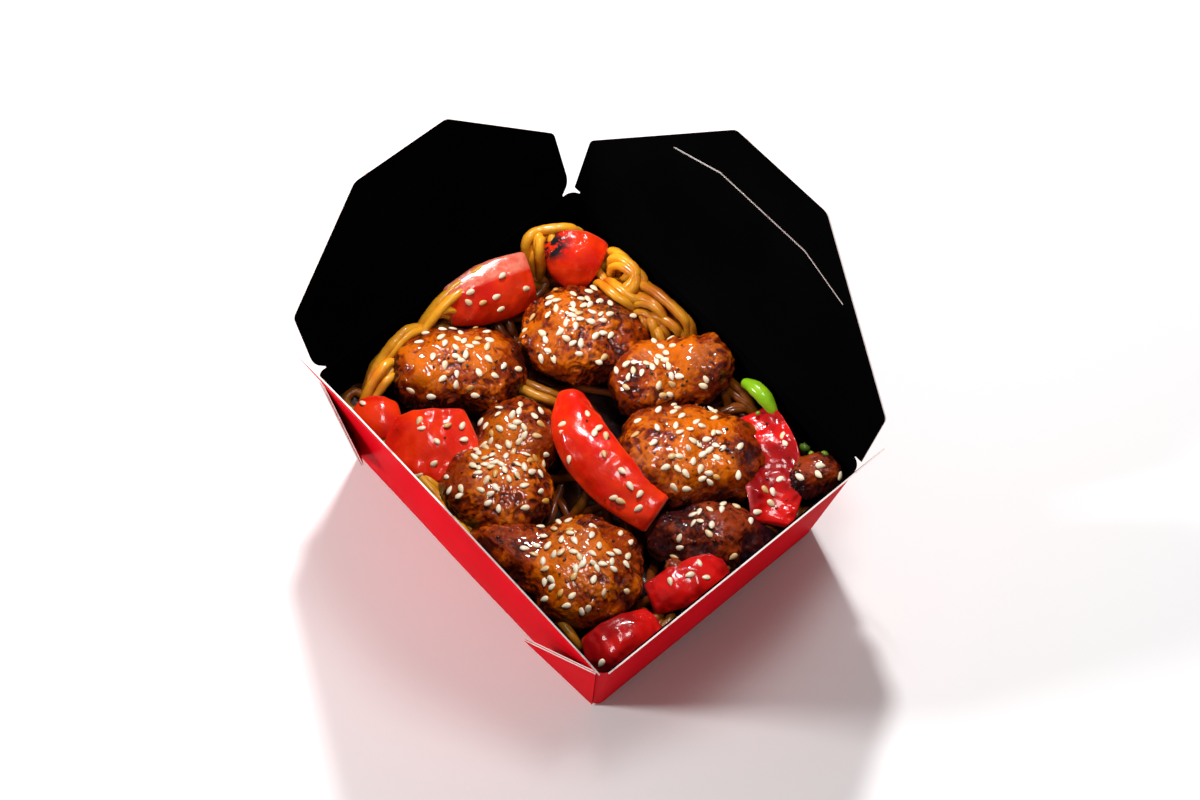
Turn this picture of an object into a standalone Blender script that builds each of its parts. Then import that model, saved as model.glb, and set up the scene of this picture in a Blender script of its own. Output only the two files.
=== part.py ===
"""Noodle takeaway box: a folded board carton with four standing lid flaps, filled with
noodles, glazed chicken, red peppers and sesame seeds.

Metres, +Z up.  The origin is the middle of the carton's underside, X runs along its long side.
Sizes below are written in millimetres and turned into metres by MM.
"""
import math

import bmesh
import bpy
import numpy as np
from mathutils import Euler, Vector
from mathutils.bvhtree import BVHTree

MM = 0.001
MERGE_TRIES = (2e-5, 8e-6, 3e-6, 1e-6, 0.0)

# Carton: tapered walls of folded board
BOARD = 0.6
RIM_LONG = 171.0
RIM_WIDE = 136.0
BASE_LONG = 150.0
BASE_WIDE = 119.0
CREASE_Z = 63.5
END_CREASE_DROP = 1.5
BASE_RADIUS = 4.0
RIM_RADIUS = 5.0
BULGE_LONG = 3.6
BULGE_END = 2.4
BASE_EASE = 0.5
CORNER_STEPS = 4
SIDE_STEPS = 4
WALL_LEVELS = (0.2, 0.4, 0.6, 0.82)
FOLD_GAP = 0.45

# Web gussets folded outside each end of the two long walls
GUSSET_TOP = (82.0, 67.6, 60.6)
GUSSET_FOOT = (73.0, 59.4, 0.7)
GUSSET_TIP = (49.0, 74.3, 45.0)
GUSSET_LAYERS = 1.2

# Lid flaps: height, half width of the top edge, shoulder height and half width
LONG_FLAP = {"tall": 85.0, "top": 24.7, "shoulder": 26.7, "wide": 84.9, "foot": 84.4}
END_FLAP = {"tall": 68.4, "top": 22.7, "shoulder": 30.4, "wide": 66.7, "foot": 62.2}
FLAP_LEAN = {"front": 16.0, "back": 18.8, "left": 21.5, "right": 16.5}
FLAP_ROUND = 2.0
SLIT_HEIGHT = 62.8
SLIT_FLAT = 23.4
SLIT_REACH = 47.4
SLIT_DROP = 7.0
SLIT_WIDTH = 0.6

# Food
FOOD_GAP = 0.35
FOOD_TOP = 60.6
NOODLE_RADIUS = 2.0
NOODLE_SIDES = 5
NOODLE_STEP = 7.2
HEAP_FOOT = 1.1
HEAP_TOP = 44.0
HEAP_LOW = 24.0
HEAP_CELLS = (17, 14)
WALL_GAP = 0.45
HEAP_REACH = 8.0
SEED_HALF = (1.65, 1.05, 0.55)
SEED_RINGS = ((-0.35, 0.78), (0.45, 0.86))
SEED_SIDES = 5
SEED_SPACING = 3.6
SEED_CLEAR = 2.0
LOBE_POWER = 9.0
CRAG = 1.3
CRAG_SIZE = 8.0
VIEW_TURN = 45.6

# Chicken pieces: centre, then lobes as offset, half sizes and turn about Z in degrees
CHICKEN = {
    "chicken_1": {"at": (-37, 29, 45.5), "seeds": 16, "lobes": (
        ((-2, 0, 0), (22, 21, 14.5), VIEW_TURN), ((7, 6, -1), (20, 17, 12), VIEW_TURN))},
    "chicken_2": {"at": (-57.5, -18, 45), "seeds": 12, "lobes": (
        ((-6, -7, 0), (18.5, 19, 14), VIEW_TURN), ((6, 7, 0), (18.5, 18, 13.5), VIEW_TURN))},
    "chicken_3": {"at": (0.5, 43.5, 45), "seeds": 10, "lobes": (
        ((-4, -5, -1), (18, 17, 13), VIEW_TURN), ((4, 8, 2), (15, 14, 13.5), 10),
        ((6, 13, 4), (13, 10, 12), 10), ((5.5, 17, 8.5), (7, 7, 7), 10))},
    "chicken_4": {"at": (33.5, 26.5, 46), "seeds": 17, "lobes": (
        ((-6, -6, 0), (22, 22, 14), VIEW_TURN), ((7, 8, -1), (22, 19, 13), VIEW_TURN))},
    "chicken_5": {"at": (-10.5, -33, 45), "seeds": 20, "lobes": (
        ((-8, 13, 0), (17, 17, 13.5), 0), ((4.5, -9, 0), (23, 21, 14.5), VIEW_TURN))},
    "chicken_6": {"at": (39, -40.5, 45), "seeds": 17, "lobes": (
        ((3.5, 1, 0), (24, 23.5, 14.5), VIEW_TURN), ((-15, -10, -0.5), (26, 13, 11.5), 28))},
    "chicken_7": {"at": (62, 8.5, 40), "seeds": 7, "lobes": (
        ((1, 1, 0), (26, 14, 12), VIEW_TURN), ((3, 3, 1), (17, 13, 11), 20))},
    "chicken_8": {"at": (73.5, 57, 50), "seeds": 2, "lobes": (
        ((0, 0, 0), (9.5, 8.5, 10), 30), ((-1, -3, 0), (8.5, 9.5, 7.5), 0))},
    "chicken_9": {"at": (66.5, -12, 46), "seeds": 0, "lobes": (
        ((0, 0, 0), (5.5, 4, 5), VIEW_TURN),)},
}

# Pepper pieces: three points on the middle line, half widths along it, outward side, arch, thickness
PEPPERS = {
    "pepper_1": {"line": ((-80, -5, 54), (-74, 13, 52.5), (-69.5, 31, 50)), "half": (9, 12.5, 13, 11.5),
                 "out": (0.55, -0.45, 0.70), "arch": 3.0, "thick": 5.0, "seeds": 4},
    "pepper_2": {"line": ((-71.5, 42.5, 48), (-64.5, 50, 51), (-57, 57, 48)), "half": (9, 12, 12, 10),
                 "out": (0.45, -0.45, 0.77), "arch": 4.5, "thick": 4.0, "seeds": 0},
    "pepper_3": {"line": ((-50, -61, 45), (-37.5, -51.5, 50), (-29, -33, 48)), "half": (12, 15, 15, 12),
                 "out": (0.10, -0.30, 0.95), "arch": 2.0, "thick": 4.0, "seeds": 4},
    "pepper_4": {"line": ((-69, -62, 44.5), (-61, -57.5, 48), (-55.5, -50, 45.5)), "half": (7.5, 9, 9, 7),
                 "out": (0.10, -0.20, 0.97), "arch": 2.0, "thick": 3.6, "seeds": 1},
    "pepper_5": {"line": ((-17, 7.5, 51.5), (9, -5.5, 54), (44, -1.5, 47.5)), "half": (5, 10.5, 11.5, 11, 8.5),
                 "out": (0.28, -0.28, 0.92), "arch": 2.8, "thick": 4.0, "seeds": 8},
    "pepper_6": {"line": ((36.5, 57.5, 52), (59, 46, 53), (75.5, 30, 45)), "half": (7, 10.5, 12, 8),
                 "out": (0.35, -0.30, 0.89), "arch": -2.5, "thick": 3.6, "seeds": 4},
    "pepper_7": {"line": ((69.5, -60.5, 44), (75, -48, 48.5), (76.5, -32, 44)), "half": (7, 9.5, 9.5, 7),
                 "out": (0.20, -0.30, 0.93), "arch": 2.4, "thick": 4.0, "seeds": 1},
    "pepper_8": {"line": ((68, -27, 44.5), (73.5, -12, 48), (76.5, 4, 45)), "half": (6.5, 8.5, 8.5, 6.5),
                 "out": (0.20, -0.10, 0.97), "arch": 2.0, "thick": 3.6, "seeds": 2},
    "green_pepper": {"line": ((25, 62, 53.5), (34, 62.4, 57), (43, 62, 52)), "half": (1.8, 3.2, 3.2, 1.8),
                     "out": (0.20, -0.25, 0.95), "arch": 1.0, "thick": 3.6, "seeds": 0},
}

# The piece on top comes first: each later one is cut back where it would run into an earlier one
TOP_FIRST = ("chicken_6", "pepper_5", "pepper_6", "chicken_4", "chicken_5", "chicken_1", "chicken_2",
             "pepper_3", "chicken_3", "pepper_1", "pepper_2", "pepper_4", "pepper_7", "chicken_9",
             "pepper_8", "chicken_8", "chicken_7", "green_pepper")

# Noodles that show above the heap: points along each, chosen by hand
NOODLES = (
    ((-77, -24, 40), (-80.3, -18, 51), (-81.2, -10, 56.5), (-81.8, -2, 58.6), (-82, 7, 58.6), (-81.8, 15, 58.6),
     (-80.6, 22, 57), (-78.5, 27, 51), (-76, 30, 40)),
    ((-80, -4, 42), (-80, 0, 53), (-80.6, 8, 56.8), (-80.2, 17, 56.5), (-79, 24, 53), (-77, 28, 40)),
    ((-69, -58, 36), (-74, -49.5, 45.5), (-78.5, -41, 50.5), (-80.2, -32, 54), (-80.8, -24, 54.5), (-79, -16, 49),
     (-77, -12, 38)),
    ((-73, -32, 40), (-75.5, -38, 51), (-73.5, -48, 50), (-71, -55, 47), (-68.5, -59.5, 41), (-67, -61, 34)),
    ((-80, -20, 40), (-79.8, -16, 52.5), (-78, -8, 56), (-76, -3, 52), (-76, 0, 40)),
    ((-75, 33, 34), (-77, 35, 48), (-79.6, 37, 56), (-80.8, 40, 58.6), (-80.8, 44, 58.7), (-77.5, 50, 58.7),
     (-74, 55.5, 58), (-72.5, 59.5, 51), (-73, 61, 38)),
    ((-80, 46, 54), (-79, 43.5, 58), (-76, 40.5, 56), (-73.5, 39, 48), (-74, 38, 36)),
    ((-53, 60, 34), (-53, 60.5, 52), (-50, 61.6, 57.5), (-45.5, 62.4, 58.7), (-40.5, 62.4, 58.5), (-38, 59, 57),
     (-39.5, 54, 51), (-42, 52, 38)),
    ((-50, 55, 36), (-47.5, 54, 50), (-42, 53.5, 54), (-35.5, 54, 54.5), (-30, 57, 51), (-27, 59, 38)),
    ((-42, 60, 38), (-38, 60.5, 53), (-31, 61.2, 57.5), (-23, 61.8, 58.6), (-14.5, 62.2, 58), (-9, 62.4, 55),
     (-6, 62.6, 40)),
    ((-36, 56, 38), (-33, 56, 52), (-28, 57.6, 56), (-22.5, 58.4, 56.5), (-18, 58.4, 52), (-17, 58.5, 38)),
    ((-27, 55, 38), (-23, 55.5, 52), (-16, 57.5, 54.5), (-10.5, 59, 52), (-9, 60, 38)),
    ((-26, 56, 38), (-22.5, 54.5, 51), (-18, 52.5, 52), (-15, 52, 46), (-14, 52, 38)),
    ((-41, -7, 34), (-36, -4, 43), (-28, -1, 44.5), (-20, 4, 42), (-17, 6, 34)),
    ((-27, -61, 36), (-23, -62.2, 43.5), (-15, -62.6, 47), (-6, -62.6, 46.5), (2, -62, 42), (6, -61, 35)),
    ((6, -59, 34), (12, -61.4, 42.5), (20, -62.4, 46), (28, -62.2, 45), (34, -61.6, 40), (37, -61, 34)),
)

RED_CARD = ("red_card", (0.62, 0.012, 0.02), 0.38)
SAUCE = ("glazed_chicken", (0.42, 0.085, 0.012), 0.28)
PEPPER_RED = ("pepper_red", (0.70, 0.03, 0.012), 0.22)
PEPPER_GREEN = ("pepper_green", (0.20, 0.42, 0.04), 0.25)
NOODLE_GOLD = ("noodle_gold", (0.72, 0.34, 0.035), 0.32)


def clear_scene():
    for obj in list(bpy.data.objects):
        bpy.data.objects.remove(obj, do_unlink=True)


def material(spec):
    """A Principled material made once for each finish."""
    name, colour, rough = spec
    found = bpy.data.materials.get(name)
    if found:
        return found
    mat = bpy.data.materials.new(name)
    mat.use_nodes = True
    shader = mat.node_tree.nodes["Principled BSDF"]
    shader.inputs["Base Color"].default_value = (*colour, 1.0)
    shader.inputs["Roughness"].default_value = rough
    shader.inputs["Metallic"].default_value = 0.0
    return mat


def make_object(name, points_mm, faces, finish=None):
    """An object from points in millimetres and faces as tuples of point numbers."""
    mesh = bpy.data.meshes.new(name)
    mesh.from_pydata([tuple(p) for p in np.asarray(points_mm, float) * MM], [], faces)
    mesh.update()
    obj = bpy.data.objects.new(name, mesh)
    bpy.context.scene.collection.objects.link(obj)
    if finish:
        mesh.materials.append(material(finish))
    return obj


def remove(objects):
    for obj in objects:
        bpy.data.objects.remove(obj, do_unlink=True)


def triangulate(obj):
    """Flat triangles first, because a Boolean on bent quads can pinch the surface."""
    bm = bmesh.new()
    bm.from_mesh(obj.data)
    bmesh.ops.triangulate(bm, faces=bm.faces[:])
    bm.to_mesh(obj.data)
    bm.free()


def merged(mesh, distance):
    """A triangulated copy with near points merged, or none if that opens or pinches its surface."""
    bm = bmesh.new()
    bm.from_mesh(mesh)
    bmesh.ops.triangulate(bm, faces=bm.faces[:])
    if distance:
        bmesh.ops.remove_doubles(bm, verts=bm.verts[:], dist=distance)
        bmesh.ops.dissolve_degenerate(bm, edges=bm.edges[:], dist=distance / 2)
        bmesh.ops.triangulate(bm, faces=bm.faces[:])
    if distance and not all(edge.is_manifold for edge in bm.edges):
        bm.free()
        return None
    return bm


def islands(bm):
    """The vertices of each connected body, the largest last."""
    groups = []
    waiting = set(bm.verts)
    while waiting:
        stack = [waiting.pop()]
        group = []
        while stack:
            vert = stack.pop()
            group.append(vert)
            for edge in vert.link_edges:
                other = edge.other_vert(vert)
                if other in waiting:
                    waiting.remove(other)
                    stack.append(other)
        groups.append(group)
    return sorted(groups, key=len)


def tidy_mesh(obj):
    """Triangulates, drops slivers and keeps the largest closed body."""
    bm = None
    for distance in MERGE_TRIES:
        bm = bm or merged(obj.data, distance)
    for group in islands(bm)[:-1]:
        bmesh.ops.delete(bm, geom=group, context="VERTS")
    bm.to_mesh(obj.data)
    bm.free()


def boolean(obj, others, operation, solver="MANIFOLD"):
    """One Boolean on a collection, applied, with the collection's objects removed."""
    if not others:
        return
    group = bpy.data.collections.new("tools")
    bpy.context.scene.collection.children.link(group)
    triangulate(obj)
    for other in others:
        triangulate(other)
        other.hide_render = True
        other.display_type = "WIRE"
        group.objects.link(other)
    modifier = obj.modifiers.new("join", "BOOLEAN")
    modifier.operation = operation
    modifier.operand_type = "COLLECTION"
    modifier.collection = group
    modifier.solver = solver
    bpy.context.view_layer.update()
    view = obj.evaluated_get(bpy.context.evaluated_depsgraph_get())
    mesh = bpy.data.meshes.new_from_object(view)
    old = obj.data
    mats = list(old.materials)
    obj.modifiers.clear()
    obj.data = mesh
    mesh.name = obj.name
    bpy.data.meshes.remove(old)
    mesh.materials.clear()
    for mat in mats:
        mesh.materials.append(mat)
    mesh.polygons.foreach_set("material_index", np.zeros(len(mesh.polygons), int))
    remove(others)
    bpy.data.collections.remove(group)
    tidy_mesh(obj)


# Carton


def half_sizes(z):
    """Half length and half width of the carton's outside at height z."""
    share = z / CREASE_Z
    long_half = (BASE_LONG + (RIM_LONG - BASE_LONG) * share) / 2
    wide_half = (BASE_WIDE + (RIM_WIDE - BASE_WIDE) * share) / 2
    return long_half, wide_half


def wall_ring(level, inset):
    """One ring of a rounded rectangle at a share of the wall's height, bulged outward."""
    top_long = CREASE_Z - FOLD_GAP
    top_end = top_long - END_CREASE_DROP
    radius = BASE_RADIUS + (RIM_RADIUS - BASE_RADIUS) * level
    swell = math.sin(math.pi * level)
    points = []
    for quarter in range(4):
        sx = (1, -1, -1, 1)[quarter]
        sy = (1, 1, -1, -1)[quarter]
        from_end = quarter % 2 == 0
        for step in range(CORNER_STEPS + 1):
            turn = step / CORNER_STEPS
            angle = math.radians(90 * (quarter + turn))
            share = turn if from_end else 1 - turn
            z = level * (top_end + (top_long - top_end) * share)
            hx, hy = half_sizes(z)
            points.append((sx * (hx - radius) + (radius - inset) * math.cos(angle),
                           sy * (hy - radius) + (radius - inset) * math.sin(angle), z))
        top = top_long if from_end else top_end
        z = level * top
        hx, hy = half_sizes(z)
        for step in range(1, SIDE_STEPS):
            along = 1 - 2 * step / SIDE_STEPS
            arch = 1 - along * along
            if from_end:
                points.append((sx * along * (hx - radius), sy * (hy - inset + BULGE_LONG * swell * arch), z))
            else:
                points.append((sx * (hx - inset + BULGE_END * swell * arch), sy * along * (hy - radius), z))
    return points


def carton_points():
    """Rings from the underside up the outside and down the inside."""
    rings = [[(x, y, 0.0) for x, y, _ in wall_ring(0.0, BASE_EASE)]]
    rings.append([(x, y, BASE_EASE) for x, y, _ in wall_ring(0.0, 0.0)])
    rings += [wall_ring(level, 0.0) for level in WALL_LEVELS + (1.0,)]
    rings += [wall_ring(level, BOARD) for level in (1.0,) + WALL_LEVELS[::-1]]
    rings.append([(x, y, BOARD) for x, y, _ in wall_ring(0.0, BOARD)])
    return rings


def loft(rings):
    """Points and faces of closed rings joined in order, with both ends capped."""
    count = len(rings[0])
    points = [p for ring in rings for p in ring]
    faces = []
    for level in range(len(rings) - 1):
        for i in range(count):
            j = (i + 1) % count
            low, high = level * count, (level + 1) * count
            faces.append((low + i, low + j, high + j, high + i))
    faces.append(tuple(range(count - 1, -1, -1)))
    last = (len(rings) - 1) * count
    faces.append(tuple(range(last, last + count)))
    return points, faces


def gusset(name, sx, sy):
    """A folded triangular web: a thin wedge from the corner to its free tip."""
    flip = np.array([sx, sy, 1])
    corners = [np.array(p) for p in (GUSSET_TOP, GUSSET_FOOT, GUSSET_TIP)]
    normal = np.cross(corners[1] - corners[0], corners[2] - corners[0])
    normal /= np.linalg.norm(normal)
    if normal[1] < 0:
        normal = -normal
    half = normal * GUSSET_LAYERS / 2
    points = [p * flip for p in [c + half for c in corners] + [c - half for c in corners]]
    faces = [(0, 1, 2), (5, 4, 3), (0, 3, 4, 1), (1, 4, 5, 2), (2, 5, 3, 0)]
    obj = make_object(name, points, faces)
    bm = bmesh.new()
    bm.from_mesh(obj.data)
    bmesh.ops.recalc_face_normals(bm, faces=bm.faces[:])
    bm.to_mesh(obj.data)
    bm.free()
    return obj


def build_carton():
    obj = make_object("carton", *loft(carton_points()), RED_CARD)
    webs = [gusset(f"web_{sx}_{sy}", sx, sy) for sx in (1, -1) for sy in (1, -1)]
    boolean(obj, webs, "UNION")
    return obj


# Lid flaps


def rounded(corner, before, after, radius, steps=3):
    """Points of an arc that eases one corner of an outline."""
    corner, before, after = (np.array(p, float) for p in (corner, before, after))
    a = corner + (before - corner) / np.linalg.norm(before - corner) * radius
    b = corner + (after - corner) / np.linalg.norm(after - corner) * radius
    share = np.linspace(0, 1, steps)[:, None]
    return [tuple(p) for p in (1 - share) ** 2 * a + 2 * share * (1 - share) * corner + share ** 2 * b]


def flap_outline(size, curved_foot):
    """Right half from the crease up, mirrored: foot, shoulder, chamfer and top edge."""
    foot = (size["foot"], FOLD_GAP)
    shoulder = (size["wide"], size["shoulder"])
    top = (size["top"], size["tall"])
    half = [foot]
    if curved_foot:
        grow = size["wide"] - size["foot"]
        for share in (0.25, 0.5, 0.75, 1.0):
            half.append((size["foot"] + grow * math.sin(share * math.pi / 2),
                         FOLD_GAP + 7.0 * (1 - math.cos(share * math.pi / 2)) + 1.0))
    half += rounded(shoulder, half[-1], top, FLAP_ROUND)
    half += rounded(top, shoulder, (0, size["tall"]), FLAP_ROUND)
    return half + [(-x, s) for x, s in reversed(half)]


def plate(name, outline, finish=None, thick=BOARD):
    """An outline in x and z given a thickness along y."""
    count = len(outline)
    points = [(x, -thick / 2, s) for x, s in outline] + [(x, thick / 2, s) for x, s in outline]
    faces = [tuple(range(count)), tuple(range(2 * count - 1, count - 1, -1))]
    faces += [(i, i + count, (i + 1) % count + count, (i + 1) % count) for i in range(count)]
    return make_object(name, points, faces, finish)


def build_flap(side, size, turn, reach, crease_z, curved_foot):
    """A flap whose origin is on its crease, leaning outward from upright."""
    obj = plate(f"flap_{side}", flap_outline(size, curved_foot), RED_CARD)
    if side == "back":
        cut_slit(obj)
    obj.location = Vector((reach * math.sin(math.radians(turn)), -reach * math.cos(math.radians(turn)),
                           crease_z)) * MM
    obj.rotation_euler = Euler((math.radians(FLAP_LEAN[side]), 0, math.radians(turn)))
    return obj


def cut_slit(obj):
    """The lock slit: a flat middle with an end slanting down on each side."""
    low = SLIT_WIDTH / 2
    line = [(-SLIT_REACH, SLIT_HEIGHT - SLIT_DROP), (-SLIT_FLAT, SLIT_HEIGHT),
            (SLIT_FLAT, SLIT_HEIGHT), (SLIT_REACH, SLIT_HEIGHT - SLIT_DROP)]
    outline = [(x, s - low) for x, s in line] + [(x, s + low) for x, s in reversed(line)]
    boolean(obj, [plate("slit", outline, None, BOARD * 4)], "DIFFERENCE")


# Food shapes


def lattice_noise(points, size, seed):
    """Smooth value noise between -1 and 1 on a lattice of the given cell size."""
    p = np.asarray(points, float) / size + seed * 17.31
    cell = np.floor(p).astype(np.int64)
    f = p - cell
    f = f * f * (3 - 2 * f)
    total = np.zeros(len(p))
    for dx in (0, 1):
        for dy in (0, 1):
            for dz in (0, 1):
                h = (cell[:, 0] + dx) * 73856093 ^ (cell[:, 1] + dy) * 19349663 ^ (cell[:, 2] + dz) * 83492791
                h = (h ^ (seed * 2654435761)) & 0x7FFFFFFF
                h = (h * 1103515245 + 12345) & 0x7FFFFFFF
                h = ((h >> 7) * 747796405 + 2891336453) & 0x7FFFFFFF
                value = ((h >> 9) & 0xFFFF) / 32767.5 - 1
                wx = f[:, 0] if dx else 1 - f[:, 0]
                wy = f[:, 1] if dy else 1 - f[:, 1]
                wz = f[:, 2] if dz else 1 - f[:, 2]
                total += value * wx * wy * wz
    return total


def lobe_distance(directions, offset, half, turn):
    """Distance from the centre along each direction to a turned ellipsoid's far surface."""
    c, s = math.cos(math.radians(turn)), math.sin(math.radians(turn))
    spin = np.array([[c, s, 0], [-s, c, 0], [0, 0, 1]])
    d = directions @ spin.T / half
    o = spin @ np.array(offset, float) / half
    a = (d * d).sum(1)
    b = d @ o
    return np.maximum((b + np.sqrt(np.maximum(b * b - a * (o @ o - 1), 0))) / a, 0.1)


def chunk_radius(spec, directions, seed):
    """Smooth maximum of the lobes, with crags on it."""
    reach = np.stack([lobe_distance(directions, *lobe) for lobe in spec["lobes"]])
    reach = (reach ** LOBE_POWER).sum(0) ** (1 / LOBE_POWER)
    crag = lattice_noise(directions * reach[:, None], CRAG_SIZE, seed)
    return reach + CRAG * crag


def ball_directions(subdivisions):
    bm = bmesh.new()
    bmesh.ops.create_icosphere(bm, subdivisions=subdivisions, radius=1.0)
    points = np.array([v.co[:] for v in bm.verts])
    faces = [tuple(v.index for v in f.verts) for f in bm.faces]
    bm.free()
    return points / np.linalg.norm(points, axis=1)[:, None], faces


def chunk(name, number, grow=0.0):
    """A chicken piece, or a slightly larger copy of it to cut its neighbours with."""
    spec = CHICKEN[name]
    fine = 3 if max(spec["lobes"][0][1]) > 12 else 2
    directions, faces = ball_directions(fine)
    points = np.array(spec["at"]) + directions * (chunk_radius(spec, directions, number) + grow)[:, None]
    points = [inner_limit(p, WALL_GAP - grow) for p in points]
    return make_object(name if not grow else name + "_cutter", points, faces, SAUCE)


def strip_frame(spec, t):
    """Middle line, tangent, side and outward directions of a pepper piece at stations from 0 to 1."""
    p0, p1, p2 = (np.array(p, float) for p in spec["line"])
    mid = 2 * p1 - (p0 + p2) / 2
    t = t[:, None]
    line = (1 - t) ** 2 * p0 + 2 * t * (1 - t) * mid + t * t * p2
    tangent = 2 * (1 - t) * (mid - p0) + 2 * t * (p2 - mid)
    tangent /= np.linalg.norm(tangent, axis=1)[:, None]
    side = np.cross(tangent, np.array(spec["out"]))
    side /= np.linalg.norm(side, axis=1)[:, None]
    return line, tangent, side, np.cross(side, tangent)


def strip_skin(spec, t, v, face, grow=0.0):
    """Points of a pepper piece: across its width by v, up its arch, and out by half its
    thickness on its upper (1) or lower (-1) face."""
    t, v = t.ravel(), v.ravel()
    line, tangent, side, out = strip_frame(spec, t)
    half = np.interp(t, np.linspace(0, 1, len(spec["half"])), spec["half"]) + grow
    arch = spec["arch"] * (1 - v * v) * (1 - 0.35 * (2 * t - 1) ** 2)
    lift = arch + face * (spec["thick"] / 2 + grow) * (1 - 0.25 * v * v)
    return line + tangent * ((2 * t - 1) * grow)[:, None] + side * (half * v)[:, None] + out * lift[:, None]


def strip(name, grow=0.0):
    """A pepper piece: two arched faces joined round their edge."""
    spec = PEPPERS[name]
    small = max(spec["half"]) < 4
    rows, cols = (7, 3) if small else (9, 5)
    t, v = np.meshgrid(np.linspace(0, 1, rows), np.linspace(-1, 1, cols), indexing="ij")
    shell = np.concatenate([strip_skin(spec, t, v, face, grow) for face in (1, -1)])
    points = [inner_limit(p, WALL_GAP - grow) for p in shell]
    under = rows * cols
    faces = []
    for i in range(rows - 1):
        for j in range(cols - 1):
            a = i * cols + j
            faces.append((a, a + 1, a + cols + 1, a + cols))
            faces.append((under + a, under + a + cols, under + a + cols + 1, under + a + 1))
    rim = [j for j in range(cols)] + [i * cols + cols - 1 for i in range(1, rows)]
    rim += [(rows - 1) * cols + j for j in range(cols - 2, -1, -1)] + [i * cols for i in range(rows - 2, 0, -1)]
    for a, b in zip(rim, rim[1:] + rim[:1]):
        faces.append((b, a, under + a, under + b))
    finish = PEPPER_GREEN if name == "green_pepper" else PEPPER_RED
    obj = make_object(name if not grow else name + "_cutter", points, faces, finish)
    bm = bmesh.new()
    bm.from_mesh(obj.data)
    bmesh.ops.recalc_face_normals(bm, faces=bm.faces[:])
    bmesh.ops.triangulate(bm, faces=bm.faces[:])
    bm.to_mesh(obj.data)
    bm.free()
    return obj


def cutter(name):
    """A copy of a piece grown by the gap that neighbours keep."""
    if name in CHICKEN:
        return chunk(name, list(CHICKEN).index(name) + 1, FOOD_GAP)
    return strip(name, FOOD_GAP)


def boxes_meet(a, b):
    """Whether two objects' bounding boxes overlap."""
    low_a, high_a = np.array(a.bound_box).min(0), np.array(a.bound_box).max(0)
    low_b, high_b = np.array(b.bound_box).min(0), np.array(b.bound_box).max(0)
    return bool(np.all(low_a < high_b) and np.all(low_b < high_a))


def inner_limit(point, margin):
    """Pulls a point inside the carton's rounded walls and under its closed lid."""
    x, y, z = point
    z = min(z, FOOD_TOP + WALL_GAP - margin)
    hx, hy = half_sizes(z)
    hx, hy = hx - BOARD - margin, hy - BOARD - margin
    radius = BASE_RADIUS
    x = max(-hx, min(hx, x))
    y = max(-hy, min(hy, y))
    cx, cy = abs(x) - (hx - radius), abs(y) - (hy - radius)
    if cx > 0 and cy > 0 and math.hypot(cx, cy) > radius:
        scale = radius / math.hypot(cx, cy)
        x = math.copysign(hx - radius + cx * scale, x)
        y = math.copysign(hy - radius + cy * scale, y)
    return x, y, z


# Sesame seeds


def seed_object(name, place, normal, turn):
    """A teardrop seed lying flat: a closed form of a few rings between two tips."""
    points = [(-1.0, 0, 0)]
    for x, r in SEED_RINGS:
        for k in range(SEED_SIDES):
            a = 2 * math.pi * k / SEED_SIDES
            points.append((x, r * math.cos(a), r * math.sin(a)))
    points.append((1.0, 0, 0))
    faces = []
    for k in range(SEED_SIDES):
        n = (k + 1) % SEED_SIDES
        faces.append((0, 1 + n, 1 + k))
        faces.append((1 + k, 1 + n, 1 + SEED_SIDES + n, 1 + SEED_SIDES + k))
        faces.append((1 + SEED_SIDES + k, 1 + SEED_SIDES + n, 1 + 2 * SEED_SIDES))
    helper = np.array([math.cos(turn), math.sin(turn), 0.1])
    x_axis = helper - normal * (helper @ normal)
    x_axis /= np.linalg.norm(x_axis)
    y_axis = np.cross(normal, x_axis)
    frame = np.stack([x_axis, y_axis, normal])
    body = np.array(points) * SEED_HALF @ frame + place + normal * 0.22
    return make_object(name, body, faces)


def chunk_spots(name, draws):
    """Points and outward normals on a chicken piece for draws of turn and steepness."""
    spec = CHICKEN[name]
    number = list(CHICKEN).index(name) + 1
    turn, steep = draws[:, 0] * math.tau, 1 - 0.72 * draws[:, 1]
    flat = np.sqrt(1 - steep ** 2)
    way = np.stack([flat * np.cos(turn), flat * np.sin(turn), steep], -1)
    side = np.cross(way, (0.3, 0.2, 0.93))
    side /= np.linalg.norm(side, axis=1)[:, None]
    spots = []
    for move in (0 * way, 0.05 * side, 0.05 * np.cross(side, way)):
        near = way + move
        near /= np.linalg.norm(near, axis=1)[:, None]
        spots.append(near * chunk_radius(spec, near, number)[:, None])
    normal = np.cross(spots[1] - spots[0], spots[2] - spots[0])
    return spots[0] + np.array(spec["at"], float), facing(normal, way)


def strip_spots(name, draws):
    """Points and outward normals on a pepper piece's outward side."""
    spec = PEPPERS[name]
    t, v = 0.08 + 0.84 * draws[:, 0], -0.8 + 1.6 * draws[:, 1]
    spots = [strip_skin(spec, a, b, 1) for a, b in ((t, v), (t + 0.01, v), (t, v + 0.01))]
    normal = np.cross(spots[1] - spots[0], spots[2] - spots[0])
    return spots[0], facing(normal, strip_frame(spec, t)[3])


def facing(normal, outward):
    """Unit normals turned to the outward side."""
    normal = normal / np.linalg.norm(normal, axis=1)[:, None]
    return normal * np.sign((normal * outward).sum(1))[:, None]


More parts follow.
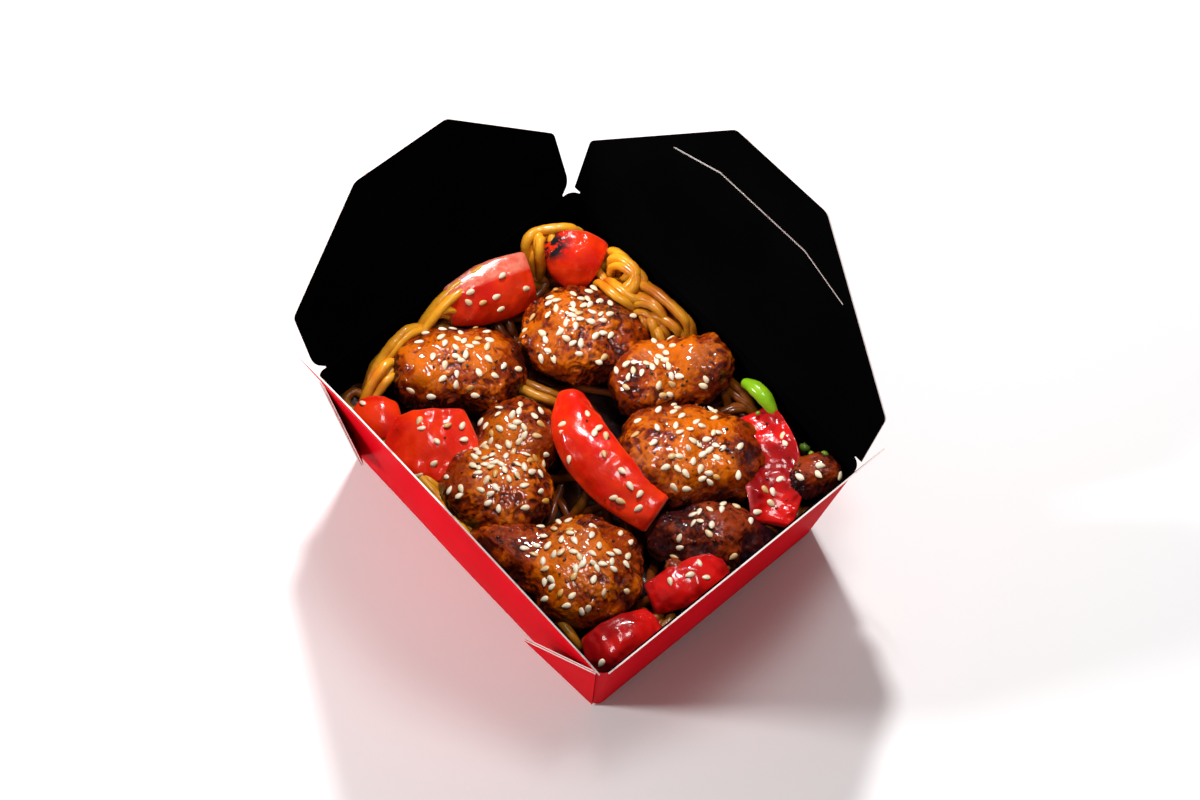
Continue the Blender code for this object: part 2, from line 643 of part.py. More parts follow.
def clear_by_form(places, own):
    """Whether each point keeps clear of every other piece, the noodles and the walls, by their formulas."""
    good = places[:, 2] < FOOD_TOP - 0.4
    for number, (name, spec) in enumerate(CHICKEN.items()):
        if name != own:
            away = places - np.array(spec["at"], float)
            far = np.linalg.norm(away, axis=1)
            good &= far > chunk_radius(spec, away / far[:, None], number + 1) + SEED_CLEAR + 0.6
    t, v = np.meshgrid(np.linspace(0, 1, 24), np.linspace(-1, 1, 9), indexing="ij")
    for name, spec in PEPPERS.items():
        if name != own:
            skin = np.concatenate([strip_skin(spec, t, v, face) for face in (1, 0, -1)])
            good &= np.linalg.norm(places[:, None] - skin[None], axis=2).min(1) > SEED_CLEAR + 1.0
    strands = np.concatenate([smooth_path(route, 2.0) for route in NOODLES])
    good &= np.linalg.norm(places[:, None] - strands[None], axis=2).min(1) > SEED_CLEAR + NOODLE_RADIUS
    hx, hy = half_sizes(places[:, 2])
    dx, dy = hx - BOARD - WALL_GAP - np.abs(places[:, 0]), hy - BOARD - WALL_GAP - np.abs(places[:, 1])
    return good & (np.minimum(dx, dy) > SEED_CLEAR) & (dx + dy > 3 * SEED_CLEAR)


def seed_places(name, count, number):
    """Places, normals and turns of a piece's seeds by a seeded draw over its upward side."""
    draws = np.random.default_rng(number).uniform(0, 1, (count * 30, 3))
    places, normals = (chunk_spots if name in CHICKEN else strip_spots)(name, draws)
    good = clear_by_form(places, name) & (normals[:, 2] > 0.35)
    kept = []
    for k in np.flatnonzero(good):
        if len(kept) < count and all(np.linalg.norm(places[k] - places[other]) > SEED_SPACING for other in kept):
            kept.append(int(k))
    return places[kept], normals[kept], draws[kept, 2] * math.tau


def clear_of_others(place, own, surfaces):
    """Whether a point keeps its distance from every other piece as built."""
    target = Vector(place * MM)
    return not any(name != own and tree.find_nearest(target, SEED_CLEAR * MM)[0] is not None
                   for name, tree in surfaces.items())


def scatter_seeds(obj, count, number, surfaces):
    """Fuses a piece's seeds on: each is set down along its normal onto the piece's own facets."""
    seeds = []
    for place, normal, turn in zip(*seed_places(obj.name, count, number)):
        start, way = Vector((place + 2 * normal) * MM), Vector(-normal)
        hit = surfaces[obj.name].ray_cast(start, way, 4 * MM)[0]
        if hit is not None and clear_of_others(np.array(hit) / MM, obj.name, surfaces):
            seeds.append(seed_object(f"seed_{len(seeds)}", np.array(hit) / MM, normal, turn))
    boolean(obj, seeds, "UNION")


# Noodles


def smooth_path(points, step):
    """A curve through the points, sampled at even steps."""
    p = np.array(points, float)
    p = np.vstack([2 * p[0] - p[1], p, 2 * p[-1] - p[-2]])
    out = []
    for i in range(1, len(p) - 2):
        t = np.linspace(0, 1, 12, endpoint=False)[:, None]
        a, b, c, d = p[i - 1:i + 3]
        out.append(0.5 * (2 * b + (c - a) * t + (2 * a - 5 * b + 4 * c - d) * t ** 2
                          + (3 * b - a - 3 * c + d) * t ** 3))
    path = np.vstack(out + [p[-2][None]])
    length = np.concatenate([[0], np.cumsum(np.linalg.norm(np.diff(path, axis=0), axis=1))])
    stations = np.linspace(0, length[-1], max(3, int(round(length[-1] / step)) + 1))
    return np.stack([np.interp(stations, length, path[:, k]) for k in range(3)], axis=1)


def noodle(name, route):
    """A round strand along its route."""
    path = smooth_path(route, NOODLE_STEP)
    tangent = np.gradient(path, axis=0)
    tangent /= np.linalg.norm(tangent, axis=1)[:, None]
    side = np.cross(tangent, (0.12, 0.21, 0.97))
    side /= np.linalg.norm(side, axis=1)[:, None]
    up = np.cross(side, tangent)
    rings = []
    for p, s, u in zip(path, side, up):
        angles = 2 * math.pi * (np.arange(NOODLE_SIDES) + 0.5) / NOODLE_SIDES
        rings.append(p + NOODLE_RADIUS * (np.cos(angles)[:, None] * s + np.sin(angles)[:, None] * u))
    obj = make_object(name, *loft([list(r) for r in rings]))
    bm = bmesh.new()
    bm.from_mesh(obj.data)
    bmesh.ops.recalc_face_normals(bm, faces=bm.faces[:])
    bm.to_mesh(obj.data)
    bm.free()
    return obj


def heap_height(x, y):
    """Top of the noodle heap: level, and lowered under every piece that lies on it."""
    height = HEAP_TOP + 1.2 * lattice_noise(np.stack([x, y, 0 * x], 1), 11.0, 5)
    for spec in CHICKEN.values():
        at = np.array(spec["at"], float)
        for offset, half, turn in spec["lobes"]:
            c, s = math.cos(math.radians(turn)), math.sin(math.radians(turn))
            dx, dy = x - at[0] - offset[0], y - at[1] - offset[1]
            q = ((c * dx + s * dy) / (half[0] + HEAP_REACH)) ** 2 + ((c * dy - s * dx) / (half[1] + HEAP_REACH)) ** 2
            under = at[2] + offset[2] - (half[2] + 1.6) * np.sqrt(np.maximum(1 - q, 0)) - 2.0
            height = np.where(q < 1, np.minimum(height, under), height)
    for spec in PEPPERS.values():
        t, v = np.meshgrid(np.linspace(0, 1, 12), np.linspace(-1, 1, 5), indexing="ij")
        for px, py, pz in strip_skin(spec, t, v, -1):
            near = (x - px) ** 2 + (y - py) ** 2 < HEAP_REACH ** 2
            height = np.where(near, np.minimum(height, pz - 1.5), height)
    return np.maximum(height, HEAP_LOW)


def build_heap():
    """The heap's core as a height field between the walls, with the showing noodles fused on."""
    nx, ny = HEAP_CELLS
    u, v = np.meshgrid(np.linspace(-1, 1, nx + 1), np.linspace(-1, 1, ny + 1), indexing="ij")
    hx, hy = half_sizes(HEAP_TOP * 0.8)
    z = heap_height((u * (hx - 2)).ravel(), (v * (hy - 2)).ravel()).reshape(u.shape)
    top = []
    for a, b, c in zip(u.ravel(), v.ravel(), z.ravel()):
        wide_x, wide_y = half_sizes(c)
        top.append(inner_limit((a * wide_x, b * wide_y, c), WALL_GAP))
    index = np.arange((nx + 1) * (ny + 1)).reshape(nx + 1, ny + 1)
    faces = [(index[i, j], index[i + 1, j], index[i + 1, j + 1], index[i, j + 1])
             for i in range(nx) for j in range(ny)]
    rim = list(index[:, 0]) + list(index[-1, 1:]) + list(index[-2::-1, -1]) + list(index[0, -2:0:-1])
    foot_start = len(top)
    foot = []
    for k in rim:
        a, b = u.ravel()[k], v.ravel()[k]
        wide_x, wide_y = half_sizes(HEAP_FOOT)
        foot.append(inner_limit((a * wide_x, b * wide_y, HEAP_FOOT), WALL_GAP))
    count = len(rim)
    for i in range(count):
        j = (i + 1) % count
        faces.append((foot_start + i, foot_start + j, rim[j], rim[i]))
    faces.append(tuple(range(foot_start + count - 1, foot_start - 1, -1)))
    faces = [tuple(int(k) for k in face) for face in faces]
    obj = make_object("noodles", top + foot, faces, NOODLE_GOLD)
    boolean(obj, [noodle(f"strand_{n}", route) for n, route in enumerate(NOODLES)], "UNION")
    return obj


def build_food():
    """Makes every piece, cuts back what would run into a piece above it, then adds seeds."""
    built = {}
    for name in TOP_FIRST:
        if name in CHICKEN:
            obj = chunk(name, list(CHICKEN).index(name) + 1)
        else:
            obj = strip(name)
        bpy.context.view_layer.update()
        meets = [other for other, piece in built.items() if boxes_meet(obj, piece)]
        boolean(obj, [cutter(other) for other in meets], "DIFFERENCE")
        built[name] = obj
    heap = build_heap()
    boolean(heap, [cutter(name) for name in TOP_FIRST], "DIFFERENCE")
    surfaces = {}
    for name, obj in list(built.items()) + [("noodles", heap)]:
        bm = bmesh.new()
        bm.from_mesh(obj.data)
        surfaces[name] = BVHTree.FromBMesh(bm)
        bm.free()
    for number, name in enumerate(TOP_FIRST):
        scatter_seeds(built[name], {**CHICKEN, **PEPPERS}[name]["seeds"], 100 + number, surfaces)


def main():
    clear_scene()
    build_carton()
    build_flap("front", LONG_FLAP, 0, RIM_WIDE / 2, CREASE_Z, False)
    build_flap("back", LONG_FLAP, 180, RIM_WIDE / 2, CREASE_Z, False)
    build_flap("right", END_FLAP, 90, RIM_LONG / 2, CREASE_Z - END_CREASE_DROP, True)
    build_flap("left", END_FLAP, -90, RIM_LONG / 2, CREASE_Z - END_CREASE_DROP, True)
    build_food()


main()
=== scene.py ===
"""Looks for the open noodle takeaway box: board with a red outside and a black inside, glazed
chicken, pepper pieces, noodles and sesame seeds.  Shapes are worked out in millimetres, in the
row frame, and turned into metres when a mesh is made."""
import math

import bmesh
import bpy
import numpy as np
from mathutils import Matrix, Vector


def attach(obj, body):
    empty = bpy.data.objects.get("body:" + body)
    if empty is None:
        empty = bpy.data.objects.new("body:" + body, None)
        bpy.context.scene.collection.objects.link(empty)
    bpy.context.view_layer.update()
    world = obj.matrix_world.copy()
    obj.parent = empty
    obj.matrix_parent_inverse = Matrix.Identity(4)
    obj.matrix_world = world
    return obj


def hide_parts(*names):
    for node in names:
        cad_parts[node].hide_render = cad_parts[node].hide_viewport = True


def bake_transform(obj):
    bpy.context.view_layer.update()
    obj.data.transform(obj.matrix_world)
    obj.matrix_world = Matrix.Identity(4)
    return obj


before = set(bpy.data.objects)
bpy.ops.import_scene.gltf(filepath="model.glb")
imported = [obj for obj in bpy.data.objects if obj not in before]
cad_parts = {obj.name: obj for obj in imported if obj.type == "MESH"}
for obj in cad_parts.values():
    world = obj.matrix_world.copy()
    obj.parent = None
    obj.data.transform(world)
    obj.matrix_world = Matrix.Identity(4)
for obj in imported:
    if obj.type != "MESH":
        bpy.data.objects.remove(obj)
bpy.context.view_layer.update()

MM = 0.001

# Carton and lid flaps: the solids' own sizes
BOARD = 0.6
RIM_LONG, RIM_WIDE = 171.0, 136.0
BASE_LONG, BASE_WIDE = 150.0, 119.0
CREASE_Z = 63.5
END_CREASE_DROP = 1.5
BASE_RADIUS, RIM_RADIUS = 4.0, 5.0
BULGE_LONG, BULGE_END = 3.6, 2.4
BASE_EASE = 0.5
FOLD_GAP = 0.45
LONG_CREASE = 81.0
CREASE_STEPS, CREASE_OVERLAP, CREASE_HANDLE = 12, 0.25, 0.3
GUSSET_TOP = (82.0, 67.6, 60.6)
GUSSET_FOOT = (73.0, 59.4, 0.7)
GUSSET_TIP = (49.0, 74.3, 45.0)
GUSSET_LAYERS = 1.2
GUSSET_STEPS = 12
LONG_FLAP = {"tall": 85.0, "top": 24.7, "shoulder": 26.7, "wide": 84.9, "foot": 84.4}
END_FLAP = {"tall": 68.4, "top": 22.7, "shoulder": 30.4, "wide": 66.7, "foot": 62.2}
FLAP_LEAN = {"front": 16.0, "back": 18.8, "left": 21.5, "right": 16.5}
FLAP_TURN = {"front": 0, "back": 180, "left": -90, "right": 90}
FLAP_ROUND = 2.0
SLIT_HEIGHT, SLIT_FLAT, SLIT_REACH, SLIT_DROP, SLIT_WIDTH = 62.8, 23.4, 47.4, 7.0, 0.6

# Food
FOOD_TOP, EASE_FROM, EASE_OVER = 60.6, 58, 2.6
WALL_GAP = 0.45
NOODLE_RADIUS = 2.0
HEAP_FOOT, HEAP_TOP, HEAP_LOW, HEAP_REACH = 1.1, 44.0, 24.0, 8.0
SEED_HALF = (1.65, 1.05, 0.55)
SEED_SPACING, MORE_SPACING = 3.6, 2.5
SEED_CLEAR = 2.0
LOBE_POWER = 9.0
CRAG, CRAG_SIZE = 1.3, 8.0
VIEW_TURN = 45.6

# Chicken pieces: centre, then lobes as offset, half sizes and turn about Z in degrees
CHICKEN = {
    "chicken_1": {"at": (-37, 29, 45.5), "seeds": 16, "lobes": (
        ((-2, 0, 0), (22, 21, 14.5), VIEW_TURN), ((7, 6, -1), (20, 17, 12), VIEW_TURN))},
    "chicken_2": {"at": (-57.5, -18, 45), "seeds": 12, "lobes": (
        ((-6, -7, 0), (18.5, 19, 14), VIEW_TURN), ((6, 7, 0), (18.5, 18, 13.5), VIEW_TURN))},
    "chicken_3": {"at": (0.5, 43.5, 45), "seeds": 10, "lobes": (
        ((-4, -5, -1), (18, 17, 13), VIEW_TURN), ((4, 8, 2), (15, 14, 13.5), 10),
        ((6, 13, 4), (13, 10, 12), 10), ((5.5, 17, 8.5), (7, 7, 7), 10))},
    "chicken_4": {"at": (33.5, 26.5, 46), "seeds": 17, "lobes": (
        ((-6, -6, 0), (22, 22, 14), VIEW_TURN), ((7, 8, -1), (22, 19, 13), VIEW_TURN))},
    "chicken_5": {"at": (-10.5, -33, 45), "seeds": 20, "lobes": (
        ((-8, 13, 0), (17, 17, 13.5), 0), ((4.5, -9, 0), (23, 21, 14.5), VIEW_TURN))},
    "chicken_6": {"at": (39, -40.5, 45), "seeds": 17, "lobes": (
        ((3.5, 1, 0), (24, 23.5, 14.5), VIEW_TURN), ((-15, -10, -0.5), (26, 13, 11.5), 28))},
    "chicken_7": {"at": (62, 8.5, 40), "seeds": 7, "lobes": (
        ((1, 1, 0), (26, 14, 12), VIEW_TURN), ((3, 3, 1), (17, 13, 11), 20))},
    "chicken_8": {"at": (73.5, 57, 50), "seeds": 2, "lobes": (
        ((0, 0, 0), (9.5, 8.5, 10), 30), ((-1, -3, 0), (8.5, 9.5, 7.5), 0))},
    "chicken_9": {"at": (66.5, -12, 46), "seeds": 0, "lobes": (
        ((0, 0, 0), (5.5, 4, 5), VIEW_TURN),)},
}

# Pepper pieces: three points on the middle line, half widths along it, outward side, arch, thickness
PEPPERS = {
    "pepper_1": {"line": ((-80, -5, 54), (-74, 13, 52.5), (-69.5, 31, 50)), "half": (9, 12.5, 13, 11.5),
                 "out": (0.55, -0.45, 0.70), "arch": 3.0, "thick": 5.0, "seeds": 4},
    "pepper_2": {"line": ((-71.5, 42.5, 48), (-64.5, 50, 51), (-57, 57, 48)), "half": (9, 12, 12, 10),
                 "out": (0.45, -0.45, 0.77), "arch": 4.5, "thick": 4.0, "seeds": 0},
    "pepper_3": {"line": ((-50, -61, 45), (-37.5, -51.5, 50), (-29, -33, 48)), "half": (12, 15, 15, 12),
                 "out": (0.10, -0.30, 0.95), "arch": 2.0, "thick": 4.0, "seeds": 4},
    "pepper_4": {"line": ((-69, -62, 44.5), (-61, -57.5, 48), (-55.5, -50, 45.5)), "half": (7.5, 9, 9, 7),
                 "out": (0.10, -0.20, 0.97), "arch": 2.0, "thick": 3.6, "seeds": 1},
    "pepper_5": {"line": ((-17, 7.5, 51.5), (9, -5.5, 54), (44, -1.5, 47.5)), "half": (5, 10.5, 11.5, 11, 8.5),
                 "out": (0.28, -0.28, 0.92), "arch": 2.8, "thick": 4.0, "seeds": 8},
    "pepper_6": {"line": ((36.5, 57.5, 52), (59, 46, 53), (75.5, 30, 45)), "half": (7, 10.5, 12, 8),
                 "out": (0.35, -0.30, 0.89), "arch": -2.5, "thick": 3.6, "seeds": 4},
    "pepper_7": {"line": ((69.5, -60.5, 44), (75, -48, 48.5), (76.5, -32, 44)), "half": (7, 9.5, 9.5, 7),
                 "out": (0.20, -0.30, 0.93), "arch": 2.4, "thick": 4.0, "seeds": 1},
    "pepper_8": {"line": ((68, -27, 44.5), (73.5, -12, 48), (76.5, 4, 45)), "half": (6.5, 8.5, 8.5, 6.5),
                 "out": (0.20, -0.10, 0.97), "arch": 2.0, "thick": 3.6, "seeds": 2},
    "green_pepper": {"line": ((25, 62, 53.5), (34, 62.4, 57), (43, 62, 52)), "half": (1.8, 3.2, 3.2, 1.8),
                     "out": (0.20, -0.25, 0.95), "arch": 1.0, "thick": 3.6, "seeds": 0},
}

# Noodles that show above the heap: points along each
NOODLES = (
    ((-77, -24, 40), (-80.3, -18, 51), (-81.2, -10, 56.5), (-81.8, -2, 58.6), (-82, 7, 58.6), (-81.8, 15, 58.6),
     (-80.6, 22, 57), (-78.5, 27, 51), (-76, 30, 40)),
    ((-80, -4, 42), (-80, 0, 53), (-80.6, 8, 56.8), (-80.2, 17, 56.5), (-79, 24, 53), (-77, 28, 40)),
    ((-69, -58, 36), (-74, -49.5, 45.5), (-78.5, -41, 50.5), (-80.2, -32, 54), (-80.8, -24, 54.5), (-79, -16, 49),
     (-77, -12, 38)),
    ((-73, -32, 40), (-75.5, -38, 51), (-73.5, -48, 50), (-71, -55, 47), (-68.5, -59.5, 41), (-67, -61, 34)),
    ((-80, -20, 40), (-79.8, -16, 52.5), (-78, -8, 56), (-76, -3, 52), (-76, 0, 40)),
    ((-75, 33, 34), (-77, 35, 48), (-79.6, 37, 56), (-80.8, 40, 58.6), (-80.8, 44, 58.7), (-77.5, 50, 58.7),
     (-74, 55.5, 58), (-72.5, 59.5, 51), (-73, 61, 38)),
    ((-80, 46, 54), (-79, 43.5, 58), (-76, 40.5, 56), (-73.5, 39, 48), (-74, 38, 36)),
    ((-53, 60, 34), (-53, 60.5, 52), (-50, 61.6, 57.5), (-45.5, 62.4, 58.7), (-40.5, 62.4, 58.5), (-38, 59, 57),
     (-39.5, 54, 51), (-42, 52, 38)),
    ((-50, 55, 36), (-47.5, 54, 50), (-42, 53.5, 54), (-35.5, 54, 54.5), (-30, 57, 51), (-27, 59, 38)),
    ((-42, 60, 38), (-38, 60.5, 53), (-31, 61.2, 57.5), (-23, 61.8, 58.6), (-14.5, 62.2, 58), (-9, 62.4, 55),
     (-6, 62.6, 40)),
    ((-36, 56, 38), (-33, 56, 52), (-28, 57.6, 56), (-22.5, 58.4, 56.5), (-18, 58.4, 52), (-17, 58.5, 38)),
    ((-27, 55, 38), (-23, 55.5, 52), (-16, 57.5, 54.5), (-10.5, 59, 52), (-9, 60, 38)),
    ((-26, 56, 38), (-22.5, 54.5, 51), (-18, 52.5, 52), (-15, 52, 46), (-14, 52, 38)),
    ((-41, -7, 34), (-36, -4, 43), (-28, -1, 44.5), (-20, 4, 42), (-17, 6, 34)),
    ((-27, -61, 36), (-23, -62.2, 43.5), (-15, -62.6, 47), (-6, -62.6, 46.5), (2, -62, 42), (6, -61, 35)),
    ((6, -59, 34), (12, -61.4, 42.5), (20, -62.4, 46), (28, -62.2, 45), (34, -61.6, 40), (37, -61, 34)),
)


# Mesh making


def surface(name, points, faces, finishes, face_finish=None, values=None, sharp=None):
    """A mesh object from whole arrays: points in millimetres, faces as an array of corner numbers,
    one finish number a face, and named values a point."""
    faces = np.asarray(faces, np.int32)
    corners = faces.shape[1]
    mesh = bpy.data.meshes.new(name)
    mesh.vertices.add(len(points))
    mesh.vertices.foreach_set("co", (np.asarray(points, float) * MM).astype(np.float32).ravel())
    mesh.loops.add(faces.size)
    mesh.loops.foreach_set("vertex_index", faces.ravel())
    mesh.polygons.add(len(faces))
    mesh.polygons.foreach_set("loop_start", np.arange(0, faces.size, corners, dtype=np.int32))
    for finish in finishes:
        mesh.materials.append(finish)
    if face_finish is not None:
        mesh.polygons.foreach_set("material_index", np.asarray(face_finish, np.int32))
    mesh.update(calc_edges=True)
    mesh.validate()
    mesh.shade_smooth()
    if sharp:
        mesh.set_sharp_from_angle(angle=math.radians(sharp))
    for key, value in (values or {}).items():
        layer = mesh.attributes.new(key, "FLOAT", "POINT")
        layer.data.foreach_set("value", np.asarray(value, np.float32).ravel())
    obj = bpy.data.objects.new(name, mesh)
    bpy.context.scene.collection.objects.link(obj)
    return obj


def grid_faces(rows, cols, close=False, start=0):
    """Quads of a grid of points; with close, the last column joins the first."""
    i, j = np.meshgrid(np.arange(rows - 1), np.arange(cols if close else cols - 1), indexing="ij")
    k = (j + 1) % cols
    return np.stack([i * cols + j, i * cols + k, (i + 1) * cols + k, (i + 1) * cols + j], -1).reshape(-1, 4) + start


def weld(obj, distance=1e-6):
    """Merges points that lie on each other and turns every face outwards."""
    bm = bmesh.new()
    bm.from_mesh(obj.data)
    bmesh.ops.remove_doubles(bm, verts=bm.verts[:], dist=distance)
    bmesh.ops.dissolve_degenerate(bm, edges=bm.edges[:], dist=distance)
    bmesh.ops.recalc_face_normals(bm, faces=bm.faces[:])
    bm.to_mesh(obj.data)
    bm.free()
    return obj


def unit(vectors):
    """Rows of vectors, each made one long."""
    return vectors / np.linalg.norm(vectors, axis=1)[:, None]


def smooth_step(low, high, x):
    """0 below low, 1 above high and an S-curve between."""
    t = np.clip((x - low) / (high - low), 0, 1)
    return t * t * (3 - 2 * t)


# Noise and the food's own shape functions


def lattice_noise(points, size, seed):
    """Smooth value noise between -1 and 1: hashed values at the corners of cubes of the given
    size, blended by an S-curve along each axis."""
    p = np.asarray(points, float) / size + seed * 17.31
    cell = np.floor(p).astype(np.int64)
    f = p - cell
    f = f * f * (3 - 2 * f)
    total = np.zeros(len(p))
    for dx in (0, 1):
        for dy in (0, 1):
            for dz in (0, 1):
                h = (cell[:, 0] + dx) * 73856093 ^ (cell[:, 1] + dy) * 19349663 ^ (cell[:, 2] + dz) * 83492791
                h = (h ^ (seed * 2654435761)) & 0x7FFFFFFF
                h = (h * 1103515245 + 12345) & 0x7FFFFFFF
                h = ((h >> 7) * 747796405 + 2891336453) & 0x7FFFFFFF
                value = ((h >> 9) & 0xFFFF) / 32767.5 - 1
                wx = f[:, 0] if dx else 1 - f[:, 0]
                wy = f[:, 1] if dy else 1 - f[:, 1]
                wz = f[:, 2] if dz else 1 - f[:, 2]
                total += value * wx * wy * wz
    return total


TWIST = np.array(Matrix.Rotation(0.7, 3, Vector((1, 2, 3)).normalized()))


def turned_noise(points, size, seed):
    """The same noise on axes turned off the row's own, so that its cubes don't show."""
    return lattice_noise(np.asarray(points, float) @ TWIST.T, size, seed)


def lobe_distance(directions, offset, half, turn):
    """Distance from the centre along each direction to a turned ellipsoid's far surface."""
    c, s = math.cos(math.radians(turn)), math.sin(math.radians(turn))
    spin = np.array([[c, s, 0], [-s, c, 0], [0, 0, 1]])
    d = directions @ spin.T / half
    o = spin @ np.array(offset, float) / half
    a = (d * d).sum(1)
    b = d @ o
    return np.maximum((b + np.sqrt(np.maximum(b * b - a * (o @ o - 1), 0))) / a, 0.1)


def chunk_number(name):
    """A chicken piece's place in the list, which seeds its noise."""
    return list(CHICKEN).index(name) + 1


def chunk_radius(spec, directions, seed):
    """Smooth maximum of the lobes' distances, with crags on it."""
    reach = np.stack([lobe_distance(directions, *lobe) for lobe in spec["lobes"]])
    reach = (reach ** LOBE_POWER).sum(0) ** (1 / LOBE_POWER)
    return reach + CRAG * lattice_noise(directions * reach[:, None], CRAG_SIZE, seed)


def half_sizes(z):
    """Half length and half width of the carton's outside at height z."""
    share = z / CREASE_Z
    return (BASE_LONG + (RIM_LONG - BASE_LONG) * share) / 2, (BASE_WIDE + (RIM_WIDE - BASE_WIDE) * share) / 2


def inside_walls(points, margin=WALL_GAP):
    """Eases points under the closed lid's level and pulls them inside the rounded walls."""
    x, y, z = np.array(points, float).T
    z = np.where(z > EASE_FROM, EASE_FROM + EASE_OVER * np.tanh((z - EASE_FROM) / EASE_OVER), z)
    hx, hy = half_sizes(z)
    hx, hy = hx - BOARD - margin, hy - BOARD - margin
    x, y = np.clip(x, -hx, hx), np.clip(y, -hy, hy)
    cx, cy = np.abs(x) - (hx - BASE_RADIUS), np.abs(y) - (hy - BASE_RADIUS)
    far = np.hypot(np.maximum(cx, 0), np.maximum(cy, 0))
    pull = np.where((cx > 0) & (cy > 0) & (far > BASE_RADIUS), BASE_RADIUS / np.maximum(far, 1e-6), 1)
    x = np.where(pull < 1, np.copysign(hx - BASE_RADIUS + cx * pull, x), x)
    y = np.where(pull < 1, np.copysign(hy - BASE_RADIUS + cy * pull, y), y)
    return np.stack([x, y, z], -1)


def strip_frame(spec, t):
    """Middle line, tangent, side and outward directions of a pepper piece at stations from 0 to 1."""
    p0, p1, p2 = (np.array(p, float) for p in spec["line"])
    mid = 2 * p1 - (p0 + p2) / 2
    t = t[:, None]
    line = (1 - t) ** 2 * p0 + 2 * t * (1 - t) * mid + t * t * p2
    tangent = unit(2 * (1 - t) * (mid - p0) + 2 * t * (p2 - mid))
    side = unit(np.cross(tangent, np.array(spec["out"])))
    return line, tangent, side, np.cross(side, tangent)


def strip_skin(spec, t, v, face, grow=0.0):
    """Points of a pepper piece: across its width by v, up its arch, and out by half its
    thickness on its upper (1) or lower (-1) face."""
    t, v = t.ravel(), v.ravel()
    line, tangent, side, out = strip_frame(spec, t)
    half = np.interp(t, np.linspace(0, 1, len(spec["half"])), spec["half"]) + grow
    arch = spec["arch"] * (1 - v * v) * (1 - 0.35 * (2 * t - 1) ** 2)
    lift = arch + face * (spec["thick"] / 2 + grow) * (1 - 0.25 * v * v)
    return line + tangent * ((2 * t - 1) * grow)[:, None] + side * (half * v)[:, None] + out * lift[:, None]


def heap_height(x, y):
    """Top of the noodle heap: level, and lowered under every piece that lies on it."""
    height = HEAP_TOP + 1.2 * lattice_noise(np.stack([x, y, 0 * x], 1), 11.0, 5)
    for spec in CHICKEN.values():
        at = np.array(spec["at"], float)
        for offset, half, turn in spec["lobes"]:
            c, s = math.cos(math.radians(turn)), math.sin(math.radians(turn))
            dx, dy = x - at[0] - offset[0], y - at[1] - offset[1]
            q = (((c * dx + s * dy) / (half[0] + HEAP_REACH)) ** 2
                 + ((c * dy - s * dx) / (half[1] + HEAP_REACH)) ** 2)
            under = at[2] + offset[2] - (half[2] + 1.6) * np.sqrt(np.maximum(1 - q, 0)) - 2.0
            height = np.where(q < 1, np.minimum(height, under), height)
    for spec in PEPPERS.values():
        t, v = np.meshgrid(np.linspace(0, 1, 12), np.linspace(-1, 1, 5), indexing="ij")
        for px, py, pz in strip_skin(spec, t, v, -1):
            near = (x - px) ** 2 + (y - py) ** 2 < HEAP_REACH ** 2
            height = np.where(near, np.minimum(height, pz - 1.5), height)
    return np.maximum(height, HEAP_LOW)


# Material making


def node(tree, kind, inputs=None, **settings):
    """A shader node with its settings and inputs; an input is a value or another node's socket."""
    made = tree.nodes.new(kind)
    for key, value in settings.items():
        setattr(made, key, value)
    for key, value in (inputs or {}).items():
        if isinstance(value, bpy.types.NodeSocket):
            tree.links.new(value, made.inputs[key])
        else:
            made.inputs[key].default_value = value
    return made


def ramp(tree, factor, stops, interpolation="EASE"):
    """A colour ramp through (position, colour) stops."""
    made = tree.nodes.new("ShaderNodeValToRGB")
    made.color_ramp.interpolation = interpolation
    elements = made.color_ramp.elements
    while len(elements) > 1:
        elements.remove(elements[-1])
    for number, (position, colour) in enumerate(stops):
        element = elements[0] if number == 0 else elements.new(position)
        element.position = position
        element.color = (*colour, 1.0)
    tree.links.new(factor, made.inputs["Fac"])
    return made.outputs["Color"]


def fade(tree, factor, start, stop, low=0.0, high=1.0):
    """A grey that goes from low to high as the factor goes from start to stop."""
    return ramp(tree, factor, ((start, (low,) * 3), (stop, (high,) * 3)))


def stored(tree, name):
    """A value that the mesh stores for each point."""
    return node(tree, "ShaderNodeAttribute", attribute_name=name).outputs["Fac"]


def mix(tree, factor, first, second):
    """Mixes two colours; each argument is a value or a socket."""
    made = tree.nodes.new("ShaderNodeMix")
    made.data_type = "RGBA"
    for socket, value in zip((made.inputs[0], made.inputs[6], made.inputs[7]), (factor, first, second)):
        if isinstance(value, bpy.types.NodeSocket):
            tree.links.new(value, socket)
        else:
            socket.default_value = value if socket.type == "VALUE" else (*value, 1.0)
    return made.outputs[2]


def maths(tree, operation, first, second=0.0, clamp=False):
    """One sum on values or sockets."""
    made = tree.nodes.new("ShaderNodeMath")
    made.operation = operation
    made.use_clamp = clamp
    for socket, value in zip(made.inputs, (first, second)):
        if isinstance(value, bpy.types.NodeSocket):
            tree.links.new(value, socket)
        else:
            socket.default_value = value
    return made.outputs[0]


def make_group(name, inputs, outputs):
    """A new shader node group with named value inputs and outputs."""
    group = bpy.data.node_groups.new(name, "ShaderNodeTree")
    for key, default in inputs.items():
        socket = group.interface.new_socket(key, in_out="INPUT", socket_type="NodeSocketFloat")
        socket.default_value = default
    for key in outputs:
        group.interface.new_socket(key, in_out="OUTPUT", socket_type="NodeSocketFloat")
    return group, group.nodes.new("NodeGroupInput"), group.nodes.new("NodeGroupOutput")


